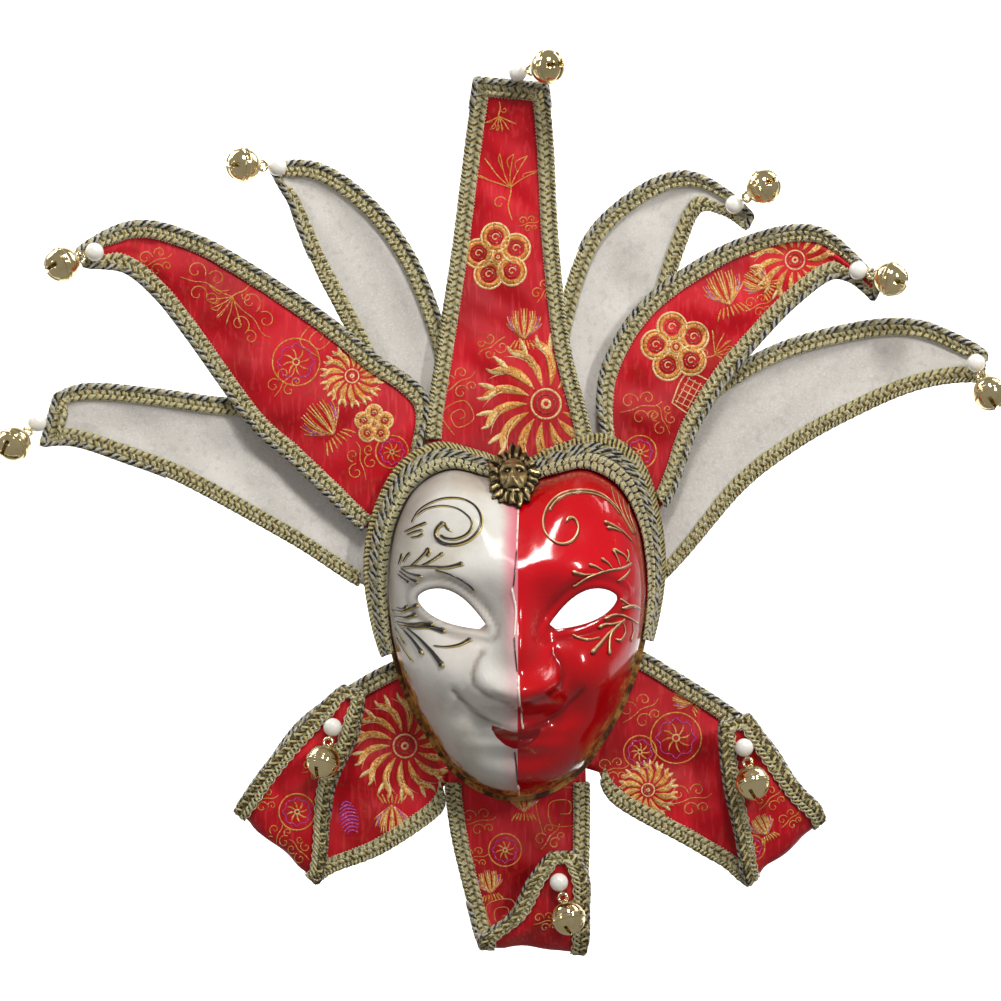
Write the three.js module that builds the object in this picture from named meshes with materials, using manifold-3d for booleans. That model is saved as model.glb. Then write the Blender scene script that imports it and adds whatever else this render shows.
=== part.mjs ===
// Jester mask: a moulded face shell with seven cloth points, three folded flaps, braid, bells and pearls.
// Millimetres, +Z up. The face looks along -Y, and its rim lies on the plane y = 0 round the origin.
import * as THREE from 'three';
import { mergeVertices } from 'three/addons/utils/BufferGeometryUtils.js';
import Module from 'manifold-3d';

const wasm = await Module();
wasm.setup();

// Driving sizes of the face shell
const face_half_width = 73;
const forehead_height = 78;
const chin_drop = 107;
const face_depth = 60;
const nose_height = 22;
const shell_wall = 2.5;
const rim_lip = 3;
const eye_spacing = 69;
const eye_length = 42;
const eye_rise = 10.5;
const eye_fall = 6;
const eye_slant = 24;
const eye_drop = 1.5;

// Driving sizes of the cloth and its woven edging
const cloth_thickness = 2;
const edging_width = 9.5;
const edging_wall = 1.5;
const layer_step = 6.7;
const fold_gap = 14;
const bowl_lift = 14;
const bowl_start = 110;
const bowl_reach = 160;
const root_tuck = 4;
const flap_edging_start = 0.55;

// Driving sizes of the forehead braid, the brooch, the bells and the pearls
const braid_width = 16;
const braid_thickness = 3.5;
const braid_rise = 5;
const braid_clearance = 1.2;
const brooch_width = 28;
const brooch_height = 40;
const brooch_thickness = 4;
const brooch_height_share = 0.83;
const brooch_lean = 38;
const brooch_shift = 2.5;
const brooch_cover = 0.57;
const bell_diameter = 19;
const bell_wall = 1.2;
const bell_slit = 3;
const bell_loop = 2.4;
const bell_wire = 0.9;
const bell_stand = 5;
const pearl_diameter = 10;

// Clearance between touching pieces, and between the cloth and the inside of its edging
const gap = 0.3;
const channel_gap = 0.6;

// Counts of faces round and along the forms
const shell_steps = 20;
const point_steps = 8;
const flap_steps = 12;
const braid_steps = 26;
const bell_sides = 10;
const pearl_sides = 8;
const brooch_sides = 22;
const brooch_rings = 5;

const degree = Math.PI / 180;
const edging_half = cloth_thickness / 2 + channel_gap + edging_wall;
const front_layer = gap + cloth_thickness / 2;
const back_layer = front_layer + layer_step;

const off_white = new THREE.MeshStandardMaterial({ color: 0xd9d4c8, roughness: 0.3, metalness: 0 });
const red_brocade = new THREE.MeshStandardMaterial({ color: 0xc4141c, roughness: 0.5, metalness: 0 });
const white_cloth = new THREE.MeshStandardMaterial({ color: 0xcfc9c4, roughness: 0.6, metalness: 0 });
const gold_braid = new THREE.MeshStandardMaterial({ color: 0xa8995a, roughness: 0.6, metalness: 0.3 });
const bronze = new THREE.MeshStandardMaterial({ color: 0x8a7340, roughness: 0.45, metalness: 0.9 });
const bright_gold = new THREE.MeshStandardMaterial({ color: 0xd8bd77, roughness: 0.15, metalness: 1 });
const pearl_white = new THREE.MeshStandardMaterial({ color: 0xeee6d8, roughness: 0.2, metalness: 0 });

// Face outline from the top centre down to the chin, as shares of the half width and of the
// forehead height above the origin or the chin drop below it. The left side mirrors the right.
const outline_rows = [
  { side: 0, up: 0.9 },
  { side: 0.25, up: 0.955 },
  { side: 0.52, up: 1 },
  { side: 0.77, up: 0.88 },
  { side: 0.93, up: 0.62 },
  { side: 1, up: 0.28 },
  { side: 1, up: 0 },
  { side: 0.95, up: -0.23 },
  { side: 0.83, up: -0.48 },
  { side: 0.66, up: -0.69 },
  { side: 0.5, up: -0.84 },
  { side: 0.27, up: -0.955 },
  { side: 0, up: -1 },
];

// Swellings and dents of the face: place and spread as shares of the half width and the chin drop,
// height as a share of the nose height. A row with pair set is repeated on the left side.
const feature_rows = [
  { name: 'nose bridge', side: 0, up: -0.02, wide: 0.1, tall: 0.17, height: 0.3 },
  { name: 'nose ridge', side: 0, up: -0.22, wide: 0.11, tall: 0.13, height: 0.55 },
  { name: 'nose tip', side: 0, up: -0.415, wide: 0.13, tall: 0.065, height: 0.74 },
  { name: 'nose wing', side: 0.2, up: -0.37, wide: 0.085, tall: 0.06, height: 0.42, pair: true },
  { name: 'wing crease', side: 0.36, up: -0.36, wide: 0.05, tall: 0.08, height: -0.12, pair: true },
  { name: 'nose underside', side: 0, up: -0.515, wide: 0.26, tall: 0.036, height: -0.26 },
  { name: 'brow', side: 0.44, up: 0.2, wide: 0.28, tall: 0.075, height: 0.22, pair: true },
  { name: 'eye socket', side: 0.46, up: -0.03, wide: 0.23, tall: 0.11, height: -0.34, pair: true },
  { name: 'eye corner', side: 0.19, up: -0.05, wide: 0.09, tall: 0.1, height: -0.22, pair: true },
  { name: 'cheek', side: 0.55, up: -0.33, wide: 0.2, tall: 0.12, height: 0.32, pair: true },
  { name: 'smile fold', side: 0.42, up: -0.46, wide: 0.08, tall: 0.06, height: -0.16, pair: true },
  { name: 'mouth corner', side: 0.26, up: -0.57, wide: 0.09, tall: 0.05, height: -0.2, pair: true },
  { name: 'upper lip', side: 0, up: -0.6, wide: 0.2, tall: 0.03, height: 0.18 },
  { name: 'lip line', side: 0, up: -0.633, wide: 0.2, tall: 0.015, height: -0.12 },
  { name: 'lower lip', side: 0, up: -0.667, wide: 0.15, tall: 0.03, height: 0.25 },
  { name: 'lip hollow', side: 0, up: -0.735, wide: 0.18, tall: 0.04, height: -0.16 },
  { name: 'chin', side: 0, up: -0.85, wide: 0.2, tall: 0.085, height: 0.34 },
];

// Cloth points, root first: place of each section from the root as shares of the point's reach,
// width as a share of the root width, turn of the section line in degrees, and how far it comes
// forward as a share of the reach.
const point_tables = [
  { name: 'top_point', root: 93, reach: 220, root_width: 90, cloth: red_brocade, layer: front_layer,
    swell: 0.03,
    hang: 4, across: 0.08, rows: [
    { out: 0, up: 0, width: 0.85, turn: 0, fore: 0 },
    { out: -0.005, up: 0.118, width: 1.02, turn: 0, fore: 0 },
    { out: -0.017, up: 0.341, width: 0.82, turn: 0, fore: 0 },
    { out: -0.013, up: 0.591, width: 0.655, turn: 0, fore: 0 },
    { out: -0.004, up: 0.841, width: 0.54, turn: 0, fore: 0.012 },
    { out: 0.001, up: 0.993, width: 0.445, turn: -5, fore: 0.055 },
  ] },
  { name: 'upper_left_point', root: 122, reach: 184, root_width: 50, cloth: white_cloth, layer: back_layer,
    swell: -0.04, hang: 180, across: 0.35, pearl_row: 5.7, rows: [
    { out: 0, up: 0, width: 1, turn: 15, fore: 0 },
    { out: -0.054, up: 0.188, width: 1, turn: 22, fore: 0 },
    { out: -0.1, up: 0.397, width: 1, turn: 28, fore: 0 },
    { out: -0.182, up: 0.582, width: 1.06, turn: 35, fore: 0 },
    { out: -0.278, up: 0.728, width: 0.98, turn: 50, fore: 0 },
    { out: -0.378, up: 0.846, width: 0.66, turn: 64, fore: 0.01 },
    { out: -0.476, up: 0.886, width: 0.24, turn: 118, fore: 0.05 },
  ] },
  { name: 'left_point', root: 137, reach: 212, root_width: 60, cloth: red_brocade, layer: front_layer,
    swell: 0.05,
    hang: 205, across: 0, pearl_row: 7.6, rows: [
    { out: 0, up: 0, width: 0.7, turn: 48, fore: 0 },
    { out: -0.042, up: 0.038, width: 0.9, turn: 54, fore: 0 },
    { out: -0.083, up: 0.156, width: 1.3, turn: 44.5, fore: 0 },
    { out: -0.198, up: 0.255, width: 1.25, turn: 51, fore: 0 },
    { out: -0.307, up: 0.349, width: 1.22, turn: 54, fore: 0 },
    { out: -0.49, up: 0.528, width: 0.88, turn: 53, fore: 0 },
    { out: -0.6, up: 0.616, width: 0.67, turn: 61, fore: 0 },
    { out: -0.708, up: 0.66, width: 0.46, turn: 78, fore: 0.015 },
    { out: -0.825, up: 0.625, width: 0.17, turn: 115, fore: 0.06 },
  ] },
  { name: 'lower_left_point', root: 152, reach: 196, root_width: 66, cloth: white_cloth, layer: back_layer,
    swell: -0.04, hang: 228, across: -0.1, rows: [
    { out: 0, up: 0, width: 0.88, turn: 84, fore: 0 },
    { out: -0.086, up: 0.041, width: 1, turn: 84, fore: 0 },
    { out: -0.282, up: 0.182, width: 1.1, turn: 85, fore: 0 },
    { out: -0.563, up: 0.284, width: 0.76, turn: 77, fore: 0 },
    { out: -0.726, up: 0.328, width: 0.64, turn: 71, fore: 0 },
    { out: -0.872, up: 0.355, width: 0.52, turn: 77, fore: 0.012 },
    { out: -0.959, up: 0.34, width: 0.44, turn: 74, fore: 0.05 },
  ] },
  { name: 'upper_right_point', root: 65, reach: 160, root_width: 50, cloth: white_cloth, layer: back_layer,
    swell: -0.04, hang: 30, across: -0.1, pearl_row: 6.3, rows: [
    { out: 0, up: 0, width: 0.96, turn: 0, fore: 0 },
    { out: 0.04, up: 0.196, width: 1.04, turn: -4, fore: 0 },
    { out: 0.075, up: 0.417, width: 1.12, turn: -8, fore: 0 },
    { out: 0.158, up: 0.7, width: 1.12, turn: -26, fore: 0 },
    { out: 0.258, up: 0.86, width: 0.86, turn: -38, fore: 0 },
    { out: 0.377, up: 0.955, width: 0.5, turn: -64, fore: 0.008 },
    { out: 0.488, up: 0.92, width: 0.28, turn: -94, fore: 0.03 },
    { out: 0.577, up: 0.845, width: 0.18, turn: -116, fore: 0.06 },
  ] },
  { name: 'right_point', root: 51, reach: 176, root_width: 58, cloth: red_brocade, layer: front_layer,
    swell: 0.05,
    hang: -18, across: 0, pearl_row: 8.2, rows: [
    { out: 0, up: 0, width: 0.62, turn: -45, fore: 0 },
    { out: 0.063, up: 0.041, width: 0.86, turn: -47, fore: 0 },
    { out: 0.097, up: 0.211, width: 0.98, turn: -23, fore: 0 },
    { out: 0.135, up: 0.323, width: 1.09, turn: -25, fore: 0 },
    { out: 0.219, up: 0.456, width: 1.1, turn: -36, fore: 0 },
    { out: 0.347, up: 0.573, width: 0.98, turn: -49, fore: 0 },
    { out: 0.482, up: 0.67, width: 0.8, turn: -52, fore: 0 },
    { out: 0.63, up: 0.725, width: 0.54, turn: -70, fore: 0.008 },
    { out: 0.725, up: 0.68, width: 0.26, turn: -98, fore: 0.03 },
    { out: 0.806, up: 0.598, width: 0.17, turn: -114, fore: 0.06 },
  ] },
  { name: 'lower_right_point', root: 28, reach: 208, root_width: 60, cloth: white_cloth, layer: back_layer,
    swell: -0.04, hang: -70, across: 0, pearl_row: 6.5, rows: [
    { out: 0, up: 0, width: 0.9, turn: -92, fore: 0 },
    { out: 0.055, up: 0.035, width: 1, turn: -88, fore: 0 },
    { out: 0.196, up: 0.244, width: 0.97, turn: -60, fore: 0 },
    { out: 0.383, up: 0.381, width: 0.95, turn: -70, fore: 0 },
    { out: 0.586, up: 0.463, width: 0.8, turn: -78, fore: 0 },
    { out: 0.725, up: 0.492, width: 0.64, turn: -86, fore: 0.005 },
    { out: 0.826, up: 0.479, width: 0.43, turn: -92, fore: 0.03 },
    { out: 0.896, up: 0.456, width: 0.28, turn: -95, fore: 0.06 },
  ] },
];

// Lower flaps, root first, with the same columns, but fore counts in fold gaps: each flap hangs
// down behind the jaw, folds forward and comes up again to its tip.
const flap_tables = [
  { name: 'left_flap', root: 232, reach: 103, root_width: 82, hang: 255, across: 0, pearl_row: 7, rows: [
    { out: 0, up: 0, width: 0.93, turn: 105, fore: 0 },
    { out: -0.15, up: -0.134, width: 1.05, turn: 122, fore: 0 },
    { out: -0.447, up: -0.338, width: 1.05, turn: 123, fore: 0 },
    { out: -0.69, up: -0.55, width: 0.81, turn: 132, fore: 0 },
    { out: -0.785, up: -0.635, width: 0.756, turn: 138, fore: 0.5 },
    { out: -0.757, up: -0.59, width: 0.74, turn: 139, fore: 1 },
    { out: -0.658, up: -0.274, width: 0.476, turn: 152, fore: 1.3 },
    { out: -0.485, up: -0.001, width: 0.34, turn: 153, fore: 1.4 },
    { out: -0.379, up: 0.191, width: 0.16, turn: 157, fore: 1.4 },
  ] },
  { name: 'centre_flap', root: 270, reach: 83, root_width: 80, hang: 285, across: 0, pearl_row: 7, rows: [
    { out: 0, up: 0.113, width: 1, turn: 180, fore: 0 },
    { out: 0.007, up: -0.06, width: 0.99, turn: 179, fore: 0 },
    { out: 0.028, up: -0.371, width: 0.94, turn: 176, fore: 0 },
    { out: 0.072, up: -0.8, width: 0.81, turn: 176, fore: 0 },
    { out: 0.1, up: -1, width: 0.75, turn: 177, fore: 0.5 },
    { out: 0.12, up: -0.93, width: 0.73, turn: 178, fore: 1 },
    { out: 0.213, up: -0.76, width: 0.54, turn: 184, fore: 1.2 },
    { out: 0.272, up: -0.542, width: 0.41, turn: 181, fore: 1.3 },
    { out: 0.3, up: -0.361, width: 0.18, turn: 180, fore: 1.3 },
  ] },
  { name: 'right_flap', root: -47, reach: 120, root_width: 80, hang: 282, across: 0, pearl_row: 7.4, rows: [
    { out: 0, up: 0, width: 0.92, turn: -104, fore: 0 },
    { out: 0.121, up: -0.112, width: 1.02, turn: -110, fore: 0 },
    { out: 0.496, up: -0.346, width: 0.95, turn: -118, fore: 0 },
    { out: 0.67, up: -0.53, width: 0.76, turn: -135, fore: 0 },
    { out: 0.767, up: -0.63, width: 0.72, turn: -139, fore: 0.5 },
    { out: 0.757, up: -0.575, width: 0.7, turn: -140, fore: 1 },
    { out: 0.698, up: -0.45, width: 0.56, turn: -142, fore: 1.2 },
    { out: 0.611, up: -0.249, width: 0.42, turn: -145, fore: 1.3 },
    { out: 0.54, up: -0.02, width: 0.22, turn: -165, fore: 1.3 },
  ] },
];

// Forehead braid from the left cheek over the brow to the right cheek: turn round the origin in
// degrees and width as a share of the braid width.
const braid_rows = [
  { turn: 200, width: 0.45 },
  { turn: 180, width: 0.65 },
  { turn: 160, width: 0.85 },
  { turn: 140, width: 0.9 },
  { turn: 118, width: 1 },
  { turn: 104, width: 0.85 },
  { turn: 90, width: 0.72 },
  { turn: 76, width: 1.05 },
  { turn: 62, width: 1.35 },
  { turn: 48, width: 1.15 },
  { turn: 36, width: 0.85 },
  { turn: 20, width: 0.68 },
  { turn: 3, width: 0.5 },
  { turn: -14, width: 0.35 },
];

// Smooth value of one column at a fractional row number, through all rows
function columnAt(rows, key, place) {
  const last = rows.length - 1;
  const at = Math.min(Math.max(place, 0), last);
  const low = Math.min(Math.floor(at), last - 1);
  const share = at - low;
  const before = rows[Math.max(low - 1, 0)][key];
  const start = rows[low][key];
  const end = rows[low + 1][key];
  const after = rows[Math.min(low + 2, last)][key];
  const cubic = after - before + 3 * (start - end);
  const square = 2 * before - 5 * start + 4 * end - after;
  return start + 0.5 * share * (end - before + share * (square + share * cubic));
}

// Radius of the face outline round the origin, read from a fine run of its points
function outlineRuns() {
  const right = outline_rows.map((row) => new THREE.Vector3(
    row.side * face_half_width, 0, row.up * (row.up > 0 ? forehead_height : chin_drop)));
  const left = right.slice(1, -1).reverse().map((point) => new THREE.Vector3(-point.x, 0, point.z));
  const curve = new THREE.CatmullRomCurve3([...right, ...left], true, 'centripetal');
  return curve.getPoints(720).map((point) => ({ turn: Math.atan2(point.z, point.x), reach: point.length() }))
    .sort((one, other) => one.turn - other.turn);
}

const outline_runs = outlineRuns();

function outlineRadius(turn) {
  const wrapped = Math.atan2(Math.sin(turn), Math.cos(turn));
  const above = outline_runs.findIndex((run) => run.turn > wrapped);
  const next = outline_runs[above < 0 ? 0 : above];
  const last = outline_runs[above <= 0 ? outline_runs.length - 1 : above - 1];
  const span = (next.turn - last.turn + 2 * Math.PI) % (2 * Math.PI);
  const share = span > 0 ? ((wrapped - last.turn + 2 * Math.PI) % (2 * Math.PI)) / span : 0;
  return last.reach + (next.reach - last.reach) * share;
}

// Rounded dome over the face: full at the middle, with steep walls down to the rim
function domeShare(radius_share) {
  return Math.pow(Math.max(0, 1 - Math.pow(radius_share, 2.5)), 1 / 2.2);
}

// Swellings and dents at one place of the face, fading out towards the rim
function featureHeight(x, z, radius_share) {
  let height = 0;
  for (const row of feature_rows) {
    for (const hand of row.pair ? [1, -1] : [1]) {
      const across = (x - hand * row.side * face_half_width) / (row.wide * face_half_width);
      const along = (z - row.up * chin_drop) / (row.tall * chin_drop);
      height += row.height * nose_height * Math.exp(-0.5 * (across * across + along * along));
    }
  }
  return height * (1 - Math.pow(radius_share, 6));
}

// Depth of the shell's outer face in front of the rim plane at one place
function faceDepth(x, z) {
  const base = outlineRadius(Math.atan2(z, x)) - rim_lip;
  const radius_share = Math.min(1, Math.hypot(x, z) / base);
  return shell_wall + (face_depth - shell_wall) * domeShare(radius_share) + featureHeight(x, z, radius_share);
}

// Geometry from a list of points and triangles, turned so that its faces point out
function closedGeometry(points, triangles) {
  let volume = 0;
  for (let at = 0; at < triangles.length; at += 3) {
    const [a, b, c] = [points[triangles[at]], points[triangles[at + 1]], points[triangles[at + 2]]];
    volume += a.dot(b.clone().cross(c));
  }
  const outward = volume < 0 ? triangles.slice().reverse() : triangles;
  const geometry = new THREE.BufferGeometry();
  const values = points.flatMap((p) => [p.x, p.y, p.z]);
  geometry.setAttribute('position', new THREE.Float32BufferAttribute(values, 3));
  geometry.setIndex(outward);
  geometry.computeVertexNormals();
  return geometry;
}

// Skin over a row of closed sections with equal counts of points, closed by caps at both ends
function loftGeometry(sections, cap) {
  const count = sections[0].length;
  const points = sections.flat();
  const triangles = [];
  for (let row = 0; row < sections.length - 1; row += 1) {
    for (let side = 0; side < count; side += 1) {
      const a = row * count + side;
      const b = row * count + (side + 1) % count;
      triangles.push(a, b, b + count, a, b + count, a + count);
    }
  }
  const end = (sections.length - 1) * count;
  for (let at = 0; at < cap.length; at += 3) {
    triangles.push(cap[at + 1], cap[at], cap[at + 2]);
    triangles.push(end + cap[at], end + cap[at + 1], end + cap[at + 2]);
  }
  return closedGeometry(points, triangles);
}

// Cap of a flat section whose first half of points faces its second half
function stripCap(count) {
  const cap = [];
  for (let side = 0; side < count / 2 - 1; side += 1) {
    const across = count - 1 - side;
    cap.push(side, side + 1, across - 1, side, across - 1, across);
  }
  return cap;
}

function toSolid(geometry) {
  const bare = geometry.clone();
  bare.deleteAttribute('normal');
  bare.deleteAttribute('uv');
  const merged = mergeVertices(bare, 1e-4);
  const vertProperties = new Float32Array(merged.attributes.position.array);
  const triVerts = new Uint32Array(merged.index.array);
  return new wasm.Manifold(new wasm.Mesh({ numProp: 3, vertProperties, triVerts }));
}

function fromSolid(solid) {
  const mesh = solid.getMesh();
  const geometry = new THREE.BufferGeometry();
  geometry.setAttribute('position', new THREE.BufferAttribute(new Float32Array(mesh.vertProperties), 3));
  geometry.setIndex(new THREE.BufferAttribute(new Uint32Array(mesh.triVerts), 1));
  geometry.computeVertexNormals();
  return geometry;
}

// Round grid over the face: a square of steps pressed into a disc, so no point is a pole
function discPlaces() {
  const places = [];
  for (let row = 0; row <= shell_steps; row += 1) {
    for (let column = 0; column <= shell_steps; column += 1) {
      const a = 2 * column / shell_steps - 1;
      const b = 2 * row / shell_steps - 1;
      const u = a * Math.sqrt(1 - b * b / 2);
      const v = b * Math.sqrt(1 - a * a / 2);
      const share = Math.min(1, Math.hypot(u, v));
      places.push({ turn: Math.atan2(v, u), share: Math.pow(Math.sin(share * Math.PI / 2), 0.85) });
    }
  }
  return places;
}

// Numbers of the grid's edge points, once round
function discEdge() {
  const side = shell_steps + 1;
  const edge = [];
  for (let step = 0; step < shell_steps; step += 1) edge.push(step);
  for (let step = 0; step < shell_steps; step += 1) edge.push(step * side + shell_steps);
  for (let step = shell_steps; step > 0; step -= 1) edge.push(shell_steps * side + step);
  for (let step = shell_steps; step > 0; step -= 1) edge.push(step * side);
  return edge;
}

function shellGeometry() {
  const places = discPlaces();
  const outer = [];
  const inner = [];
  for (const place of places) {
    const base = outlineRadius(place.turn) - rim_lip;
    const x = Math.cos(place.turn) * place.share * base;
    const z = Math.sin(place.turn) * place.share * base;
    const relief = featureHeight(x, z, place.share);
    const shrink = (base - shell_wall) / base;
    const dome = domeShare(place.share);
    outer.push(new THREE.Vector3(x, -(shell_wall + (face_depth - shell_wall) * dome + relief), z));
    inner.push(new THREE.Vector3(x * shrink, -((face_depth - shell_wall) * dome + relief), z * shrink));
  }
  const edge = discEdge();
  const lip_front = edge.map((at) => rimPoint(places[at].turn, -shell_wall));
  const lip_back = edge.map((at) => rimPoint(places[at].turn, 0));
  const points = [...outer, ...inner, ...lip_front, ...lip_back];
  const triangles = gridTriangles(0, false).concat(gridTriangles(outer.length, true));
  const front_start = outer.length * 2;
  const back_start = front_start + edge.length;
  for (let step = 0; step < edge.length; step += 1) {
    const next = (step + 1) % edge.length;
    quad(triangles, edge[step], edge[next], front_start + next, front_start + step);
    quad(triangles, front_start + step, front_start + next, back_start + next, back_start + step);
    const [inner_here, inner_next] = [outer.length + edge[step], outer.length + edge[next]];
    quad(triangles, back_start + step, back_start + next, inner_next, inner_here);
  }
  return closedGeometry(points, triangles);
}

function rimPoint(turn, y) {
  const reach = outlineRadius(turn);
  return new THREE.Vector3(Math.cos(turn) * reach, y, Math.sin(turn) * reach);
}

function quad(triangles, a, b, c, d) {
  triangles.push(a, c, b, a, d, c);
}

function gridTriangles(start, flipped) {
  const side = shell_steps + 1;
  const triangles = [];
  for (let row = 0; row < shell_steps; row += 1) {
    for (let column = 0; column < shell_steps; column += 1) {
      const a = start + row * side + column;
      const corners = [a, a + 1, a + side + 1, a + side];
      if (flipped) corners.reverse();
      triangles.push(corners[0], corners[1], corners[2], corners[0], corners[2], corners[3]);
    }
  }
  return triangles;
}

// Almond cutter of one eye, from in front of the face to behind the rim. Its lids are highest
// nearer the outer corner, and share runs from the outer corner to the inner one.
function eyeCutter(hand) {
  const arch = (share) => Math.pow(Math.sin(Math.PI * Math.pow(share, 0.72)), 0.9);
  const outline = [];
  const steps = 8;
  for (let step = 0; step <= steps; step += 1) {
    const share = hand > 0 ? 1 - step / steps : step / steps;
    outline.push(new THREE.Vector2((step / steps - 0.5) * eye_length, arch(share) * eye_rise));
  }
  for (let step = steps - 1; step > 0; step -= 1) {
    const share = hand > 0 ? 1 - step / steps : step / steps;
    outline.push(new THREE.Vector2((step / steps - 0.5) * eye_length, -arch(share) * eye_fall));
  }
  const shape = new THREE.Shape(outline);
  const cutter = new THREE.ExtrudeGeometry(shape, { depth: face_depth * 2, bevelEnabled: false, steps: 1 });
  cutter.rotateZ(hand * eye_slant * degree);
  cutter.rotateX(90 * degree);
  cutter.translate(hand * eye_spacing / 2, 0, -eye_drop);
  return toSolid(cutter);
}

function faceShell() {
  const solid = toSolid(shellGeometry()).subtract(eyeCutter(1)).subtract(eyeCutter(-1));
  return fromSolid(solid);
}

// Frame of a cloth strip at a fractional row: middle, section direction, normal, way to the tip and
// width. Only a folding strip turns its normal: the others stay parallel to the layer behind them.
function stripFrame(strip, place) {
  const anchor = outlineRadius(strip.root * degree) - root_tuck;
  const middleAt = (row) => {
    const x = Math.cos(strip.root * degree) * anchor + columnAt(strip.rows, 'out', row) * strip.reach;
    const z = Math.sin(strip.root * degree) * anchor + columnAt(strip.rows, 'up', row) * strip.reach;
    return new THREE.Vector3(x, strip.layer - columnAt(strip.rows, 'fore', row) * strip.fore_unit, z);
  };
  const turn = columnAt(strip.rows, 'turn', place) * degree;
  const last = strip.rows.length - 1;
  const near = (last - 1) / (strip.steps - 1);
  const travel = middleAt(Math.min(place + near, last)).sub(middleAt(Math.max(place - near, 0)));
  const across = new THREE.Vector3(Math.cos(turn), 0, Math.sin(turn));
  const onward = travel.addScaledVector(across, -travel.dot(across));
  const normal = strip.folds ? onward.clone().cross(across).normalize() : new THREE.Vector3(0, 1, 0);
  const along = onward.divideScalar(strip.folds ? onward.length() : Math.hypot(onward.x, onward.z));
  return { middle: middleAt(place), across, normal, along,
    width: columnAt(strip.rows, 'width', place) * strip.root_width };
}

function offsetPoint(frame, across, along, normal) {
  return frame.middle.clone().addScaledVector(frame.across, across)
    .addScaledVector(frame.along, along).addScaledVector(frame.normal, normal);
}

// All points bow forward alike with their distance from the face, so that their layers stay apart
function bowed(strip, point) {
  const beyond = Math.max(0, Math.hypot(point.x, point.z) - bowl_start) / bowl_reach;
  if (!strip.folds) point.y -= bowl_lift * beyond * beyond;
  return point;
}

// Width of the edging on one section, less where the cloth is narrow
function lipWidth(frame) {
  return Math.min(edging_width, frame.width * 0.4);
}

// Row numbers of the sections that the edging follows, from the second row to the tip. On a flap it
// starts nearer the root, where it comes out from behind the face.
function edgingPlaces(strip) {
  const span = strip.rows.length - 2;
  const places = strip.folds ? [flap_edging_start] : [];
  for (let step = 0; step < strip.steps; step += 1) places.push(1 + span * step / (strip.steps - 1));
  return places;
}

// Cloth sheet of a strip: two faces with a soft swell between the edgings
function clothGeometry(strip) {
  const inset = edging_wall + channel_gap;
  const last = strip.rows.length - 1;
  const sections = [];
  const places = [0, ...edgingPlaces(strip)];
  for (const [step, place] of places.entries()) {
    const frame = stripFrame(strip, place);
    const half = frame.width / 2 - inset;
    const flat = frame.width / 2 - lipWidth(frame);
    const end = place === last ? inset : 0;
    const swells = step > 1 && step < places.length - 2;
    const swell = swells ? strip.swell * frame.width : 0;
    const across = strip.folds ? [-half, 0, half] : [-half, -flat, 0, flat, half];
    const lift = (at) => (at === 0 ? swell : 0);
    const front = across.map((at) => offsetPoint(frame, at, -end, -cloth_thickness / 2 - lift(at)));
    const back = across.map((at) => offsetPoint(frame, at, -end, cloth_thickness / 2 - lift(at)));
    sections.push([...front, ...back.reverse()].map((point) => bowed(strip, point)));
  }
  return loftGeometry(sections, stripCap(sections[0].length));
}

// Channel section of the edging at one edge point: into the cloth, and to its front and back
function channelSection(edge, inward, normal, lip) {
  const inner_half = cloth_thickness / 2 + channel_gap;
  const corners = [
    [0, -edging_half], [lip, -edging_half], [lip, -inner_half], [edging_wall, -inner_half],
    [edging_wall, inner_half], [lip, inner_half], [lip, edging_half], [0, edging_half],
  ];
  const cornerAt = ([depth, height]) => edge.clone()
    .addScaledVector(inward, depth).addScaledVector(normal, height);
  return corners.map(cornerAt);
}

// Edging round both sides and the tip of a strip, one folded band with mitred corners
function edgingGeometry(strip) {
  const last = strip.rows.length - 1;
  const rising = [];
  const falling = [];
  for (const place of edgingPlaces(strip)) {
    const frame = stripFrame(strip, place);
    const lip = lipWidth(frame);
    const tip_share = place === last ? 1 : 0;
    const left_in = frame.across.clone().addScaledVector(frame.along, -tip_share);
    const right_in = frame.across.clone().negate().addScaledVector(frame.along, -tip_share);
    rising.push(channelSection(offsetPoint(frame, -frame.width / 2, 0, 0), left_in, frame.normal, lip));
    falling.push(channelSection(offsetPoint(frame, frame.width / 2, 0, 0), right_in, frame.normal, lip));
  }
  const cap = [0, 1, 2, 0, 2, 3, 0, 3, 4, 0, 4, 7, 7, 4, 5, 7, 5, 6];
  const sections = [...rising, ...falling.reverse()];
  return loftGeometry(sections.map((section) => section.map((point) => bowed(strip, point))), cap);
}

// Row number of the braid table at one turn round the origin
function rowAtTurn(turn) {
  const degrees = turn / degree;
  const above = braid_rows.findIndex((row) => row.turn <= degrees);
  const span = braid_rows[above - 1].turn - braid_rows[above].turn;
  return above - (degrees - braid_rows[above].turn) / span;
}

// Section of the braid at one turn, first its front and then its back
function braidSection(turn, place) {
  const width = columnAt(braid_rows, 'width', place) * braid_width;
  const inner = outlineRadius(turn) - rim_lip + braid_clearance;
  const floor = shell_wall + gap;
  const at = (share, height) => {
    const reach = inner + width * share;
    return new THREE.Vector3(Math.cos(turn) * reach, -(floor + height), Math.sin(turn) * reach);
  };
  const crown = braid_thickness * 0.25;
  return [
    at(0, braid_rise + braid_thickness), at(0.5, braid_rise * 0.6 + braid_thickness + crown),
    at(1, braid_thickness), at(1, 0), at(0.5, braid_rise * 0.45), at(0, braid_rise),
  ];
}

// Band over the brow: a sloping strip whose inner side stands forward beside the dome
function braidGeometry() {
  const last = braid_rows.length - 1;
  const sections = [];
  for (let step = 0; step <= braid_steps; step += 1) {
    const place = last * step / braid_steps;
    sections.push(braidSection(columnAt(braid_rows, 'turn', place) * degree, place));
  }
  return loftGeometry(sections, stripCap(6));
}

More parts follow.
